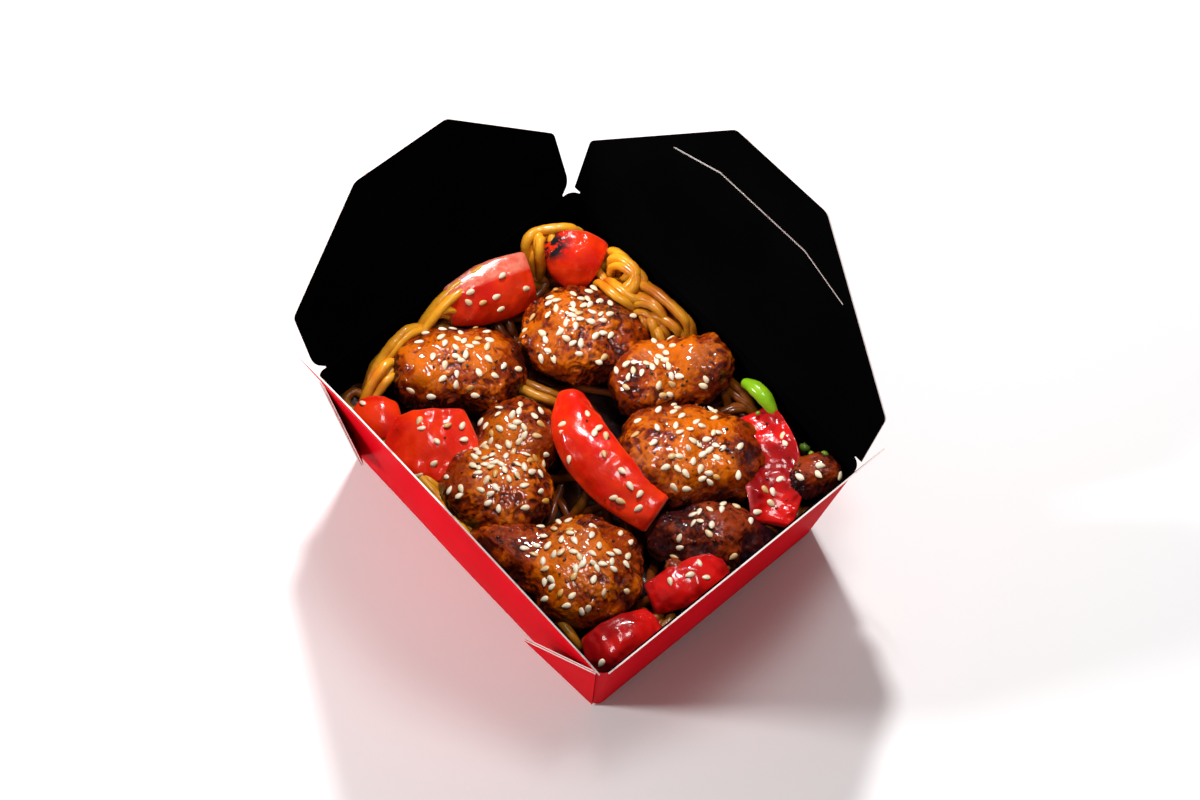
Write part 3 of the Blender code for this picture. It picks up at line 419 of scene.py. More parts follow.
def mottle_group():
    """Patches, speckle and fine grain of an uneven cooked surface, from Object coordinates."""
    group, enter, leave = make_group(
        "mottle", {"Patch": 90.0, "Speckle": 500.0, "Grain": 1500.0}, ("Patch", "Speckle", "Grain"))
    place = node(group, "ShaderNodeTexCoord").outputs["Object"]
    for key, detail, rough in (("Patch", 3.0, 0.55), ("Speckle", 4.0, 0.6), ("Grain", 2.0, 0.6)):
        noise = node(group, "ShaderNodeTexNoise",
                     {"Vector": place, "Scale": enter.outputs[key], "Detail": detail, "Roughness": rough})
        group.links.new(noise.outputs["Fac"], leave.inputs[key])
    return group


def paper_group():
    """Faint waviness and fibre of coated board, from Object coordinates."""
    group, enter, leave = make_group("board_fibre", {"Wave": 22.0, "Fibre": 900.0}, ("Wave", "Fibre"))
    place = node(group, "ShaderNodeTexCoord").outputs["Object"]
    for key, detail in (("Wave", 2.0), ("Fibre", 3.0)):
        noise = node(group, "ShaderNodeTexNoise", {"Vector": place, "Scale": enter.outputs[key], "Detail": detail})
        group.links.new(noise.outputs["Fac"], leave.inputs[key])
    return group


MOTTLE = mottle_group()
FIBRE = paper_group()


def new_finish(name, **plain):
    """A material with its Principled shader; plain values go straight onto the shader's sockets."""
    finish = bpy.data.materials.new(name)
    finish.use_nodes = True
    shader = finish.node_tree.nodes["Principled BSDF"]
    for key, value in plain.items():
        shader.inputs[key.replace("_", " ")].default_value = value
    return finish, finish.node_tree, shader


def place_group(tree, group, **values):
    made = tree.nodes.new("ShaderNodeGroup")
    made.node_tree = group
    for key, value in values.items():
        made.inputs[key].default_value = value
    return made.outputs


def rough_by(tree, shader, marks, low, high):
    """Roughness from low to high with the speckle."""
    tree.links.new(fade(tree, marks["Speckle"], 0.3, 0.7, low, high), shader.inputs["Roughness"])


def bump(tree, shader, height, strength, distance, below=None):
    """A bump that feeds the shader's normal, over an earlier bump if there is one."""
    made = node(tree, "ShaderNodeBump", {"Height": height, "Strength": strength, "Distance": distance})
    if below is not None:
        tree.links.new(below, made.inputs["Normal"])
    tree.links.new(made.outputs["Normal"], shader.inputs["Normal"])
    return made.outputs["Normal"]


def board_finish(name, colour, worn, rough, level, coat):
    """Coated board: an even colour a little worn in patches, with faint waves and fibre."""
    finish, tree, shader = new_finish(name, Specular_IOR_Level=level, Coat_Weight=coat, Coat_Roughness=0.3)
    fibre = place_group(tree, FIBRE)
    shade = mix(tree, fade(tree, fibre["Wave"], 0.35, 0.75), colour, worn)
    tree.links.new(shade, shader.inputs["Base Color"])
    tree.links.new(maths(tree, "ADD", rough - 0.04, maths(tree, "MULTIPLY", fibre["Wave"], 0.08)),
                   shader.inputs["Roughness"])
    wavy = bump(tree, shader, fibre["Wave"], 0.25, 0.0012)
    bump(tree, shader, fibre["Fibre"], 0.06, 0.0002, wavy)
    return finish


def cut_finish():
    """Cut edge of the board: pale fibre with a pink cast."""
    finish, tree, shader = new_finish("board_cut", Roughness=0.75)
    fibre = place_group(tree, FIBRE, Wave=150.0, Fibre=2500.0)
    shade = mix(tree, fibre["Fibre"], (0.95, 0.86, 0.82), (0.80, 0.66, 0.62))
    tree.links.new(mix(tree, fade(tree, fibre["Wave"], 0.55, 0.8), shade,
                       (0.62, 0.30, 0.28)), shader.inputs["Base Color"])
    bump(tree, shader, fibre["Fibre"], 0.3, 0.0002)
    return finish


def chicken_finish(name, deep, warm, bright, share):
    """Glazed fried chicken under a wet glaze: amber, red-brown and near black in random patches and in a few
    burnt spots, with painted light and shade: lighter on upward faces, lump tops and crust grains, and darker
    down the sides, between lumps, in the crust's hollows and near black in the cracks."""
    finish, tree, shader = new_finish(name, Coat_Roughness=0.04, Specular_IOR_Level=0.06)
    marks = place_group(tree, MOTTLE, Patch=85.0, Speckle=620.0, Grain=1900.0)
    crust = stored(tree, "crust")
    lump_light = stored(tree, "lump_light")
    upward = stored(tree, "upward")
    # Painted light: upward faces, lump tops and crust grains add to the blend and come out lighter; the patch and
    # speckle noise is the chicken's own uneven tone.
    blend = maths(tree, "MULTIPLY", marks["Patch"], 1.5)
    for value, share_of in ((upward, 0.55), (lump_light, 0.30), (crust, 0.35), (marks["Speckle"], 0.45)):
        blend = maths(tree, "ADD", blend, maths(tree, "MULTIPLY", value, share_of))
    top = tuple(min(1.0, c * 1.2) for c in bright)
    shade = ramp(tree, maths(tree, "SUBTRACT", blend, share),
                 ((0.04, deep), (0.36, warm), (0.70, bright), (1.0, top)))
    # Painted shade: the crust's hollows go towards the deep colour.
    shade = mix(tree, fade(tree, crust, 0.02, 0.30, 0.6, 0), shade, deep)
    # Painted shade: the cracks go near black.
    crack = stored(tree, "crack")
    shade = mix(tree, maths(tree, "MULTIPLY", crack, 0.42), shade, (0.020, 0.004, 0.003))
    char = maths(tree, "MULTIPLY", fade(tree, marks["Speckle"], 0.60, 0.66),
                 fade(tree, marks["Patch"], 0.38, 0.50, 1, 0))
    burnt = stored(tree, "burnt")
    scorch = maths(tree, "MULTIPLY", burnt, fade(tree, marks["Speckle"], 0.40, 0.52, 0, 0.92))
    shade = mix(tree, maths(tree, "MAXIMUM", char, scorch), shade, (0.010, 0.006, 0.012))
    tree.links.new(shade, shader.inputs["Base Color"])
    rough_by(tree, shader, marks, 0.10, 0.26)
    tree.links.new(fade(tree, marks["Patch"], 0.3, 0.6, 0.45, 0.85), shader.inputs["Coat Weight"])
    coarse = bump(tree, shader, marks["Speckle"], 0.6, 0.0010)
    bump(tree, shader, marks["Grain"], 0.2, 0.0004, coarse)
    return finish


def pepper_finish(name, skin, dark, flesh, rough):
    """Pepper: glossy skin, paler flesh along the cut, both with soft patches."""
    finish, tree, shader = new_finish(name, Coat_Weight=0.4, Coat_Roughness=0.03, Specular_IOR_Level=0.2)
    marks = place_group(tree, MOTTLE, Patch=70.0, Speckle=330.0, Grain=1100.0)
    cut = stored(tree, "cut")
    char = stored(tree, "char")
    shade = mix(tree, fade(tree, marks["Patch"], 0.35, 0.65), dark, skin)
    edge = maths(tree, "MULTIPLY", cut, fade(tree, marks["Speckle"], 0.35, 0.6, 0.55, 1), True)
    shade = mix(tree, edge, shade, flesh)
    burnt = maths(tree, "MULTIPLY", char, fade(tree, marks["Speckle"], 0.42, 0.52))
    tree.links.new(mix(tree, burnt, shade, (0.012, 0.014, 0.018)), shader.inputs["Base Color"])
    rough_by(tree, shader, marks, rough, rough + 0.14)
    coarse = bump(tree, shader, marks["Speckle"], 0.18, 0.0012)
    bump(tree, shader, marks["Grain"], 0.12, 0.0004, coarse)
    return finish


def noodle_finish(name, pale, warm, deep):
    """Noodles: golden, browner in random patches, and darker the lower they lie in the heap: painted shade."""
    finish, tree, shader = new_finish(name, Coat_Weight=0.3, Coat_Roughness=0.06, Specular_IOR_Level=0.2)
    marks = place_group(tree, MOTTLE, Patch=60.0, Speckle=420.0, Grain=1300.0)
    height = stored(tree, "height")
    shade = mix(tree, fade(tree, marks["Patch"], 0.32, 0.58), warm, pale)
    shade = mix(tree, fade(tree, marks["Speckle"], 0.55, 0.8, 0, 0.6), shade, warm)
    # Painted shade: the stored height value mixes lower noodles towards the deep colour.
    tree.links.new(mix(tree, height, deep, shade), shader.inputs["Base Color"])
    rough_by(tree, shader, marks, 0.22, 0.38)
    bump(tree, shader, marks["Speckle"], 0.12, 0.0008)
    return finish


def seed_finish():
    """Sesame: cream, some toasted, each seed in its own tone."""
    finish, tree, shader = new_finish("sesame", Coat_Weight=0.25, Coat_Roughness=0.15)
    tone = stored(tree, "tone")
    marks = place_group(tree, MOTTLE, Patch=400.0, Speckle=900.0, Grain=2500.0)
    shade = ramp(tree, tone, ((0.0, (0.94, 0.80, 0.60)), (0.62, (0.90, 0.72, 0.46)), (0.82, (0.72, 0.46, 0.20)),
                              (1.0, (0.66, 0.30, 0.04))), "LINEAR")
    shade = mix(tree, fade(tree, marks["Patch"], 0.5, 0.85, 0, 0.45), shade, (0.70, 0.46, 0.24))
    tree.links.new(shade, shader.inputs["Base Color"])
    rough_by(tree, shader, marks, 0.3, 0.5)
    bump(tree, shader, marks["Speckle"], 0.12, 0.0003)
    return finish


def crumb_finish():
    """Crumbs of crust: from near black to red-brown, each in its own tone, glossy."""
    finish, tree, shader = new_finish("dark_crumb", Coat_Weight=0.6, Coat_Roughness=0.08)
    tone = stored(tree, "tone")
    marks = place_group(tree, MOTTLE, Patch=400.0, Speckle=900.0, Grain=2500.0)
    shade = ramp(tree, tone, ((0.0, (0.008, 0.004, 0.006)), (0.5, (0.05, 0.008, 0.005)),
                              (1.0, (0.30, 0.05, 0.006))), "LINEAR")
    tree.links.new(mix(tree, marks["Patch"], shade, (0.02, 0.006, 0.005)), shader.inputs["Base Color"])
    rough_by(tree, shader, marks, 0.2, 0.45)
    bump(tree, shader, marks["Grain"], 0.3, 0.0003)
    return finish


BOARD_RED = board_finish("board_red", (0.76, 0.003, 0.012), (0.64, 0.003, 0.010), 0.5, 0.0, 0.10)
BOARD_BLACK = board_finish("board_black", (0.0016, 0.0016, 0.0018), (0.0026, 0.0026, 0.003), 0.6, 0.0, 0.0)
BOARD_CUT = cut_finish()
BOARD_FINISHES = BOARD_RED, BOARD_BLACK, BOARD_CUT
CHICKEN_GLAZE = chicken_finish(
    "chicken_glaze", (0.050, 0.005, 0.002), (0.27, 0.027, 0.001), (0.58, 0.112, 0.001), 1.15)
# A darker copy of the glaze for the small pieces: partly their own darker maroon, and painted shade for chicken_7,
# which lies in shade under chicken_4.
CHICKEN_DARK_SHADED = chicken_finish(
    "chicken_dark_shaded", (0.010, 0.003, 0.005), (0.050, 0.006, 0.005), (0.26, 0.030, 0.005), 1.22)
PEPPER_SKIN = pepper_finish("pepper_skin", (0.88, 0.036, 0.004), (0.70, 0.012, 0.004), (0.90, 0.26, 0.17), 0.10)
PEPPER_DEEP = pepper_finish("pepper_deep", (0.68, 0.008, 0.006), (0.28, 0.003, 0.004), (0.55, 0.06, 0.07), 0.10)
PEPPER_GREEN = pepper_finish("pepper_green", (0.38, 0.62, 0.015), (0.22, 0.46, 0.010), (0.66, 0.84, 0.26), 0.10)
GREEN_DARK = pepper_finish("green_dark", (0.17, 0.28, 0.018), (0.06, 0.14, 0.010), (0.30, 0.42, 0.10), 0.16)
NOODLE_GOLD = noodle_finish("noodle_gold", (1.0, 0.42, 0.018), (0.68, 0.17, 0.006), (0.13, 0.024, 0.003))
# The heap's body: dark with sauce, and darker still as painted shade for the gaps between the pieces.
NOODLE_CORE = noodle_finish("noodle_core", (0.10, 0.030, 0.006), (0.05, 0.014, 0.004), (0.010, 0.005, 0.006))
SESAME = seed_finish()
CRUMB = crumb_finish()


# Carton


def wall_grid(levels, inset, corner_steps=8, side_steps=28):
    """Rings of a rounded rectangle at shares of the wall's height.  Each wall leans out as it
    rises and bows out by a half sine up its height times a parabola along its length."""
    level = np.asarray(levels, float)[:, None]
    top_long = CREASE_Z - FOLD_GAP
    top_end = top_long - END_CREASE_DROP
    radius = BASE_RADIUS + (RIM_RADIUS - BASE_RADIUS) * level
    swell = np.sin(np.pi * level)
    parts = []
    for quarter in range(4):
        sx, sy = (1, -1, -1, 1)[quarter], (1, 1, -1, -1)[quarter]
        from_end = quarter % 2 == 0
        turn = np.linspace(0, 1, corner_steps + 1)[None, :]
        angle = np.radians(90 * (quarter + turn))
        z = level * (top_end + (top_long - top_end) * (turn if from_end else 1 - turn))
        hx, hy = half_sizes(z)
        parts.append(np.stack([sx * (hx - radius) + (radius - inset) * np.cos(angle),
                               sy * (hy - radius) + (radius - inset) * np.sin(angle), z], -1))
        along = (1 - 2 * np.arange(1, side_steps) / side_steps)[None, :]
        arch = 1 - along * along
        z = level * (top_long if from_end else top_end) + 0 * along
        hx, hy = half_sizes(z)
        if from_end:
            out = hy - inset + BULGE_LONG * swell * arch
            parts.append(np.stack([sx * along * (hx - radius), sy * out, z], -1))
        else:
            out = hx - inset + BULGE_END * swell * arch
            parts.append(np.stack([sx * out, sy * along * (hy - radius), z], -1))
    return np.concatenate(parts, axis=1)


def inward(ring, shares):
    """Rings drawn in from one ring towards its middle, to close a floor."""
    centre = ring.mean(0)
    return np.stack([centre + (ring - centre) * share for share in shares])


def build_carton():
    """Underside, outer walls, rim, inner walls and floor as one run of rings: red outside and
    black inside."""
    levels = np.linspace(0, 1, 30)
    outer, inner = wall_grid(levels, 0.0), wall_grid(levels, BOARD)
    foot = wall_grid([0.0], BASE_EASE)[0]
    easing = []
    for share in (0.0, 0.35, 0.7, 1.0):
        ring = wall_grid([0.0], BASE_EASE * (1 - math.sin(share * math.pi / 2)))[0]
        ring[:, 2] = BASE_EASE * (1 - math.cos(share * math.pi / 2))
        easing.append(ring)
    outer = outer[outer[:, 0, 2] > BASE_EASE * 1.5]
    inner = inner[inner[:, 0, 2] > BOARD * 1.5][::-1]
    floor = wall_grid([0.0], BOARD)[0]
    floor[:, 2] = BOARD
    under = inward(foot, (0.004, 0.3, 0.65, 0.9))
    bed = inward(floor, (1.0, 0.9, 0.6, 0.3, 0.004))
    rings = np.concatenate([under, np.stack(easing), outer, inner, bed])
    cols = rings.shape[1]
    faces = grid_faces(len(rings), cols, close=True)
    row = np.repeat(np.arange(len(rings) - 1), cols)
    edge = len(under) + len(easing) + len(outer) - 1
    finish = np.where(row < edge, 0, 1)
    obj = surface("carton_board", rings.reshape(-1, 3), faces, BOARD_FINISHES, finish, sharp=40)
    fill_ends(obj)
    return obj


def fill_ends(obj):
    """Closes the two tiny holes in the middle of the underside and the floor."""
    bm = bmesh.new()
    bm.from_mesh(obj.data)
    filled = bmesh.ops.holes_fill(bm, edges=[e for e in bm.edges if e.is_boundary], sides=0)["faces"]
    for face in filled:
        face.material_index = 0 if face.calc_center_median().z < BOARD * MM / 2 else 1
    bmesh.ops.recalc_face_normals(bm, faces=bm.faces[:])
    bm.to_mesh(obj.data)
    bm.free()


def build_gussets():
    """Four folded webs of two layers: red outside, black between the layers, and pale along the
    cut upper edges.  Each layer is a flat triangle from rim corner and base corner to the tip."""
    corners = np.array([GUSSET_TOP, GUSSET_FOOT, GUSSET_TIP])
    normal = np.cross(corners[1] - corners[0], corners[2] - corners[0])
    normal = normal / np.linalg.norm(normal) * np.sign(normal[1])
    points, faces, finish = [], [], []
    for sx in (1, -1):
        for sy in (1, -1):
            for near, far in ((0.1, GUSSET_LAYERS / 2), (-GUSSET_LAYERS / 2, -0.1)):
                steps = np.linspace(0, 1, GUSSET_STEPS + 1)[:, None]
                start = sum(len(p) for p in points)
                top = corners[0] + (corners[2] - corners[0]) * steps
                low = corners[1] + (corners[2] - corners[1]) * steps
                low[-1] = top[-1] + (corners[1] - corners[2]) * 0.004
                ring = np.stack([top + normal * near, low + normal * near,
                                 low + normal * far, top + normal * far], 1)
                points.append((ring * (sx, sy, 1)).reshape(-1, 3))
                faces.append(grid_faces(GUSSET_STEPS + 1, 4, close=True, start=start))
                finish.append(np.tile((1, 0, 0, 2) if near > 0 else (0, 0, 1, 2), GUSSET_STEPS))
                last = 4 * GUSSET_STEPS
                faces.append(np.array([[0, 1, 2, 3], [last + 3, last + 2, last + 1, last]]) + start)
                finish.append(np.array([0, 0]))
    obj = surface("carton_webs", np.concatenate(points), np.concatenate(faces), BOARD_FINISHES,
                  np.concatenate(finish), sharp=30)
    return weld(obj, 1e-7)


# Lid flaps


def rounded(corner, before, after, radius, steps=7):
    """Points of an arc that eases one corner of an outline."""
    corner, before, after = (np.array(p, float) for p in (corner, before, after))
    a = corner + (before - corner) / np.linalg.norm(before - corner) * radius
    b = corner + (after - corner) / np.linalg.norm(after - corner) * radius
    share = np.linspace(0, 1, steps)[:, None]
    return (1 - share) ** 2 * a + 2 * share * (1 - share) * corner + share ** 2 * b


def flap_half(size, curved_foot):
    """Half widths and heights up one side of a flap: foot, shoulder, chamfer and top corner."""
    rows = [np.array([[size["foot"], FOLD_GAP]])]
    if curved_foot:
        turn = np.linspace(0.1, 1, 10) * math.pi / 2
        rows.append(np.stack([size["foot"] + (size["wide"] - size["foot"]) * np.sin(turn),
                              FOLD_GAP + 7.0 * (1 - np.cos(turn)) + np.minimum(1.0, turn * 2.55)], 1))
    shoulder, top = (size["wide"], size["shoulder"]), (size["top"], size["tall"])
    rows.append(rounded(shoulder, rows[-1][-1], top, FLAP_ROUND))
    rows.append(rounded(top, shoulder, (0, size["tall"]), FLAP_ROUND))
    return np.concatenate(rows)


def crease_place(side):
    """Whether a flap is on a long side, its lean and turn, and its crease's reach and height."""
    long_side = side in ("front", "back")
    reach = (RIM_WIDE if long_side else RIM_LONG) / 2
    height = CREASE_Z - (0 if long_side else END_CREASE_DROP)
    return long_side, math.radians(FLAP_LEAN[side]), math.radians(FLAP_TURN[side]), reach, height


def stand(points, side):
    """Moves points from a flap's own frame (crease along x, flap up z) to its leaning place."""
    _, lean, turn, reach, height = crease_place(side)
    spin = np.array(Matrix.Rotation(turn, 3, "Z") @ Matrix.Rotation(lean, 3, "X"))
    return points @ spin.T + np.array([reach * math.sin(turn), -reach * math.cos(turn), height])


def build_flap(side):
    """A flap as rows across its width from the crease up, on both faces of the board: black
    inside, red outside, and pale round the cut edge."""
    size = LONG_FLAP if side in ("front", "back") else END_FLAP
    half = flap_half(size, side in ("left", "right"))
    heights = np.unique(np.round(np.concatenate([half[:, 1], np.linspace(FOLD_GAP, size["tall"], 40)]), 4))
    wide = np.interp(heights, half[:, 1], half[:, 0])
    u = np.linspace(-1, 1, 41)
    x = wide[:, None] * u
    z = heights[:, None] + 0 * u
    outer = np.stack([x, np.full_like(x, -BOARD / 2), z], -1).reshape(-1, 3)
    inner = np.stack([x, np.full_like(x, BOARD / 2), z], -1).reshape(-1, 3)
    rows, cols = x.shape
    count = rows * cols
    index = np.arange(count).reshape(rows, cols)
    rim = np.concatenate([index[0], index[1:, -1], index[-1, -2::-1], index[-2:0:-1, 0]])
    after = np.roll(rim, -1)
    sheet = grid_faces(rows, cols)
    faces = np.concatenate([sheet, sheet[:, ::-1] + count, np.stack([after, rim, rim + count, after + count], -1)])
    finish = np.concatenate([np.zeros(len(sheet)), np.ones(len(sheet)), np.full(len(rim), 2)])
    obj = surface(f"flap_{side}_board", stand(np.concatenate([outer, inner]), side), faces,
                  BOARD_FINISHES, finish, sharp=30)
    return cut_slit(obj) if side == "back" else obj


def cut_slit(obj):
    """Cuts the lock slit, a flat middle with an end slanting down on each side, and leaves its
    walls pale."""
    line = np.array([(-SLIT_REACH, SLIT_HEIGHT - SLIT_DROP), (-SLIT_FLAT, SLIT_HEIGHT),
                     (SLIT_FLAT, SLIT_HEIGHT), (SLIT_REACH, SLIT_HEIGHT - SLIT_DROP)])
    step = np.array([0, SLIT_WIDTH / 2])
    outline = np.concatenate([line - step, (line + step)[::-1]])
    near = np.stack([outline[:, 0], np.full(8, -2.0), outline[:, 1]], -1)
    far = np.stack([outline[:, 0], np.full(8, 2.0), outline[:, 1]], -1)
    ring = np.arange(8)
    walls = np.stack([ring, ring + 8, np.roll(ring, -1) + 8, np.roll(ring, -1)], -1)
    caps = np.array([[0, 1, 6, 7], [1, 2, 5, 6], [2, 3, 4, 5]])
    faces = np.concatenate([walls, caps, caps[:, ::-1] + 8])
    tool = surface("slit_tool", stand(np.concatenate([near, far]), "back"), faces,
                   BOARD_FINISHES, np.full(len(faces), 2))
    weld(tool)
    cut = obj.modifiers.new("slit", "BOOLEAN")
    cut.operation = "DIFFERENCE"
    cut.object = tool
    cut.solver = "EXACT"
    bpy.context.view_layer.update()
    mesh = bpy.data.meshes.new_from_object(obj.evaluated_get(bpy.context.evaluated_depsgraph_get()))
    obj.modifiers.clear()
    obj.data = mesh
    bpy.data.objects.remove(tool, do_unlink=True)
    return obj


def build_crease(side):
    """The folded strip of board between a wall's top and its flap's foot: a short curve that
    leaves the wall upward and joins the flap along its lean, carried along the crease."""
    long_side, lean, turn, reach, height = crease_place(side)
    length = LONG_CREASE if long_side else END_FLAP["foot"]
    slope = math.atan2((RIM_WIDE - BASE_WIDE if long_side else RIM_LONG - BASE_LONG) / 2, CREASE_Z)
    wall, flap = np.array([math.sin(slope), math.cos(slope)]), np.array([math.sin(lean), math.cos(lean)])
    start = np.array([-BOARD / 2, -FOLD_GAP]) - wall * CREASE_OVERLAP
    end = flap * (FOLD_GAP + CREASE_OVERLAP)
    s = np.linspace(0, 1, CREASE_STEPS)[:, None]
    middle = (1 - s) ** 3 * start + 3 * s * (1 - s) ** 2 * (start + wall * CREASE_HANDLE) \
        + 3 * s * s * (1 - s) * (end - flap * CREASE_HANDLE) + s ** 3 * end
    tangent = unit(np.gradient(middle, axis=0))
    normal = np.stack([tangent[:, 1], -tangent[:, 0]], 1) * (BOARD / 2 - 0.004)
    loop = np.concatenate([middle + normal, (middle - normal)[::-1]])
    along = np.linspace(-1, 1, 41) * length
    points = np.empty((len(along), len(loop), 3))
    points[..., 0] = along[:, None]
    points[..., 1] = -(reach + loop[None, :, 0])
    points[..., 2] = height + loop[None, :, 1]
    spin = np.array(Matrix.Rotation(turn, 3, "Z"))
    points = points.reshape(-1, 3) @ spin.T
    cols = len(loop)
    faces = grid_faces(len(along), cols, close=True)
    finish = np.tile(np.where(np.arange(cols) < CREASE_STEPS, 0, 1), len(along) - 1)
    caps = np.array([[k, k + 1, cols - 2 - k, cols - 1 - k] for k in range(CREASE_STEPS - 1)])
    last = (len(along) - 1) * cols
    faces = np.concatenate([faces, caps, caps[:, ::-1] + last])
    finish = np.concatenate([finish, np.full(2 * len(caps), 2)])
    obj = surface(f"crease_{side}", points, faces, BOARD_FINISHES, finish, sharp=60)
    weld(obj, 1e-7)
    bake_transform(obj)
    return obj


# Chicken


BALLS = {}


def ball(steps):
    """Directions and quads of a cube's six grids drawn out to a sphere, with shared edges."""
    if steps not in BALLS:
        a = np.tan(np.linspace(-1, 1, steps + 1) * math.pi / 4)
        u, v = (g.ravel() for g in np.meshgrid(a, a, indexing="ij"))
        one = np.ones_like(u)
        sides = ((one, u, v), (-one, -u, v), (-u, one, v), (u, -one, v), (u, v, one), (-u, v, -one))
        points = np.concatenate([np.stack(side, -1) for side in sides])
        points = unit(points)
        faces = np.concatenate([grid_faces(steps + 1, steps + 1, start=k * (steps + 1) ** 2) for k in range(6)])
        faces = faces[:, [0, 3, 2, 1]]
        _, first, back = np.unique(np.round(points, 6), axis=0, return_index=True, return_inverse=True)
        BALLS[steps] = points[first], back.ravel()[faces]
    return BALLS[steps]


def chunk_relief(spec, directions, number):
    """Fine relief on a chicken piece: soft lumps at two sizes, a crust of small rounded grains
    with creases between them, and cracks lower down.  Returns height, crust, lumps and cracks."""
    base = directions * chunk_radius(spec, directions, number)[:, None]
    warp = np.stack([turned_noise(base, 4.0, 40 + k) for k in range(3)], -1) * 1.2
    bent = base + warp
    lumps = 0.95 * turned_noise(base, 8.0, 20 + number) + 0.55 * turned_noise(bent, 4.0, 30 + number)
    rough = smooth_step(-0.2, 0.4, turned_noise(base, 13.0, 70 + number) + 0.30 - 0.6 * directions[:, 2])
    crust = 0.38 * turned_noise(bent, 2.1, 50 + number) + 0.34 * turned_noise(bent, 1.1, 60 + number)
    crust = crust * (0.6 + 0.7 * rough)
    crack = (1 - smooth_step(0.0, 0.13, np.abs(turned_noise(bent, 4.6, 80 + number)))) * rough
    return lumps + crust - 0.35 * crack, crust, lumps, crack


# Where a chicken piece is charred: middle of the patch and its radius
BURNT = {"chicken_1": ((-33, 43, 53), 11), "chicken_2": ((-70, -6, 52), 8), "chicken_3": ((11, 56, 54), 13),
         "chicken_4": ((48, 38, 52), 10), "chicken_6": ((58, -36, 50), 9)}


def burnt_share(name, points):
    """1 in the middle of a piece's charred patch, falling to 0 over its radius."""
    if name not in BURNT:
        return np.zeros(len(points))
    middle, radius = BURNT[name]
    return smooth_step(1.0, 0.35, np.linalg.norm(points - np.array(middle, float), axis=1) / radius)


def build_chunk(name, steps, finish):
    """A chicken piece: the solid's own radius in every direction plus the fine relief."""
    number = chunk_number(name)
    spec = CHICKEN[name]
    directions, faces = ball(steps)
    relief, crust, lumps, crack = chunk_relief(spec, directions, number)
    points = np.array(spec["at"]) + directions * (chunk_radius(spec, directions, number) + relief)[:, None]
    # The stored crust, lump_light, upward and crack values feed the finish's painted light and shade: lighter tops
    # and grains, darker hollows and cracks.
    return surface(f"{name}_glazed", inside_walls(points), faces, (finish,), values={
        "crust": np.clip(0.5 + crust / 0.6, 0, 1), "lump_light": np.clip(0.5 + lumps / 2.0, 0, 1),
        "upward": smooth_step(-0.05, 0.95, directions[:, 2]), "crack": crack,
        "burnt": burnt_share(name, points)})


# Peppers


# How each pepper piece looks: finish, height of its wrinkles, their size, which side shows flesh (on pepper_1 that
# pale side is also a painted reflection)
PEPPER_LOOKS = {
    "pepper_1": (PEPPER_SKIN, 0.8, 7.0, -0.45),
    "pepper_2": (PEPPER_SKIN, 0.9, 7.0, 0.0),
    "pepper_3": (PEPPER_SKIN, 1.0, 6.5, 0.0),
    "pepper_4": (PEPPER_SKIN, 0.3, 7.0, 0.0),
    "pepper_5": (PEPPER_SKIN, 0.9, 7.5, 0.0),
    "pepper_6": (PEPPER_DEEP, 1.1, 5.0, 0.84),
    "pepper_7": (PEPPER_DEEP, 0.8, 5.0, 0.0),
    "pepper_8": (PEPPER_DEEP, 0.8, 5.0, 0.0),
    "green_pepper": (PEPPER_GREEN, 0.1, 6.0, 0.0),
}


def build_pepper(name):
    """A pepper piece: each section is a flattened loop round the board-like strip, thinning to a
    rounded cut at both ends, with soft wrinkles along its outward side."""
    spec = PEPPERS[name]
    finish, tall, size, bare = PEPPER_LOOKS[name]
    rows, cols = 90, 88
    s = np.linspace(0, 1, rows)
    along = s - np.sin(2 * np.pi * s) / (2 * np.pi) * 0.75
    angle = np.linspace(0, 2 * np.pi, cols, endpoint=False)
    v = np.sign(np.cos(angle)) * np.abs(np.cos(angle)) ** 0.5
    h = np.sign(np.sin(angle)) * np.abs(np.sin(angle)) ** 0.42
    t, v = np.meshgrid(along, v, indexing="ij")
    h = np.broadcast_to(h, t.shape)
    reach = np.linalg.norm(np.array(spec["line"][2]) - np.array(spec["line"][0]))
    end = np.clip(np.minimum(t, 1 - t) * reach / 1.8, 0, 1)
    ease = np.sqrt(1 - (1 - end) ** 2)
    points = strip_skin(spec, t, v * (0.9 + 0.1 * ease), (h * ease).ravel())
    out = strip_frame(spec, t.ravel())[3]
    number = list(PEPPERS).index(name)
    wave = turned_noise(points, size, 60 + number) + 0.45 * turned_noise(points, size * 0.45, 70 + number)
    points = points + out * (tall * wave * ease.ravel() ** 2)[:, None]
    v, h = v.ravel(), h.ravel()
    rim = smooth_step(0.80, 0.97, np.abs(v)) * smooth_step(0.75, -0.2, h)
    cut = np.maximum(np.maximum(rim, smooth_step(0.1, -0.3, h)), smooth_step(0.9, 0.2, ease.ravel()))
    # Pale flesh along one side: on pepper_1 it is partly its cut flesh and partly a painted pale reflection.
    if bare:
        cut = np.maximum(cut, smooth_step(abs(bare) - 0.08, abs(bare) + 0.08, v * np.sign(bare)) * 0.8)
    char = np.zeros_like(v)
    if name == "pepper_2":
        char = smooth_step(0.62, 0.25, np.hypot(t.ravel() - 0.18, (v + 0.55) * 0.5) / 0.55)
    obj = surface(f"{name}_piece", inside_walls(points), grid_faces(rows, cols, close=True), (finish,),
                  values={"cut": cut, "char": char})
    return weld(obj, 1e-6)


# Noodles


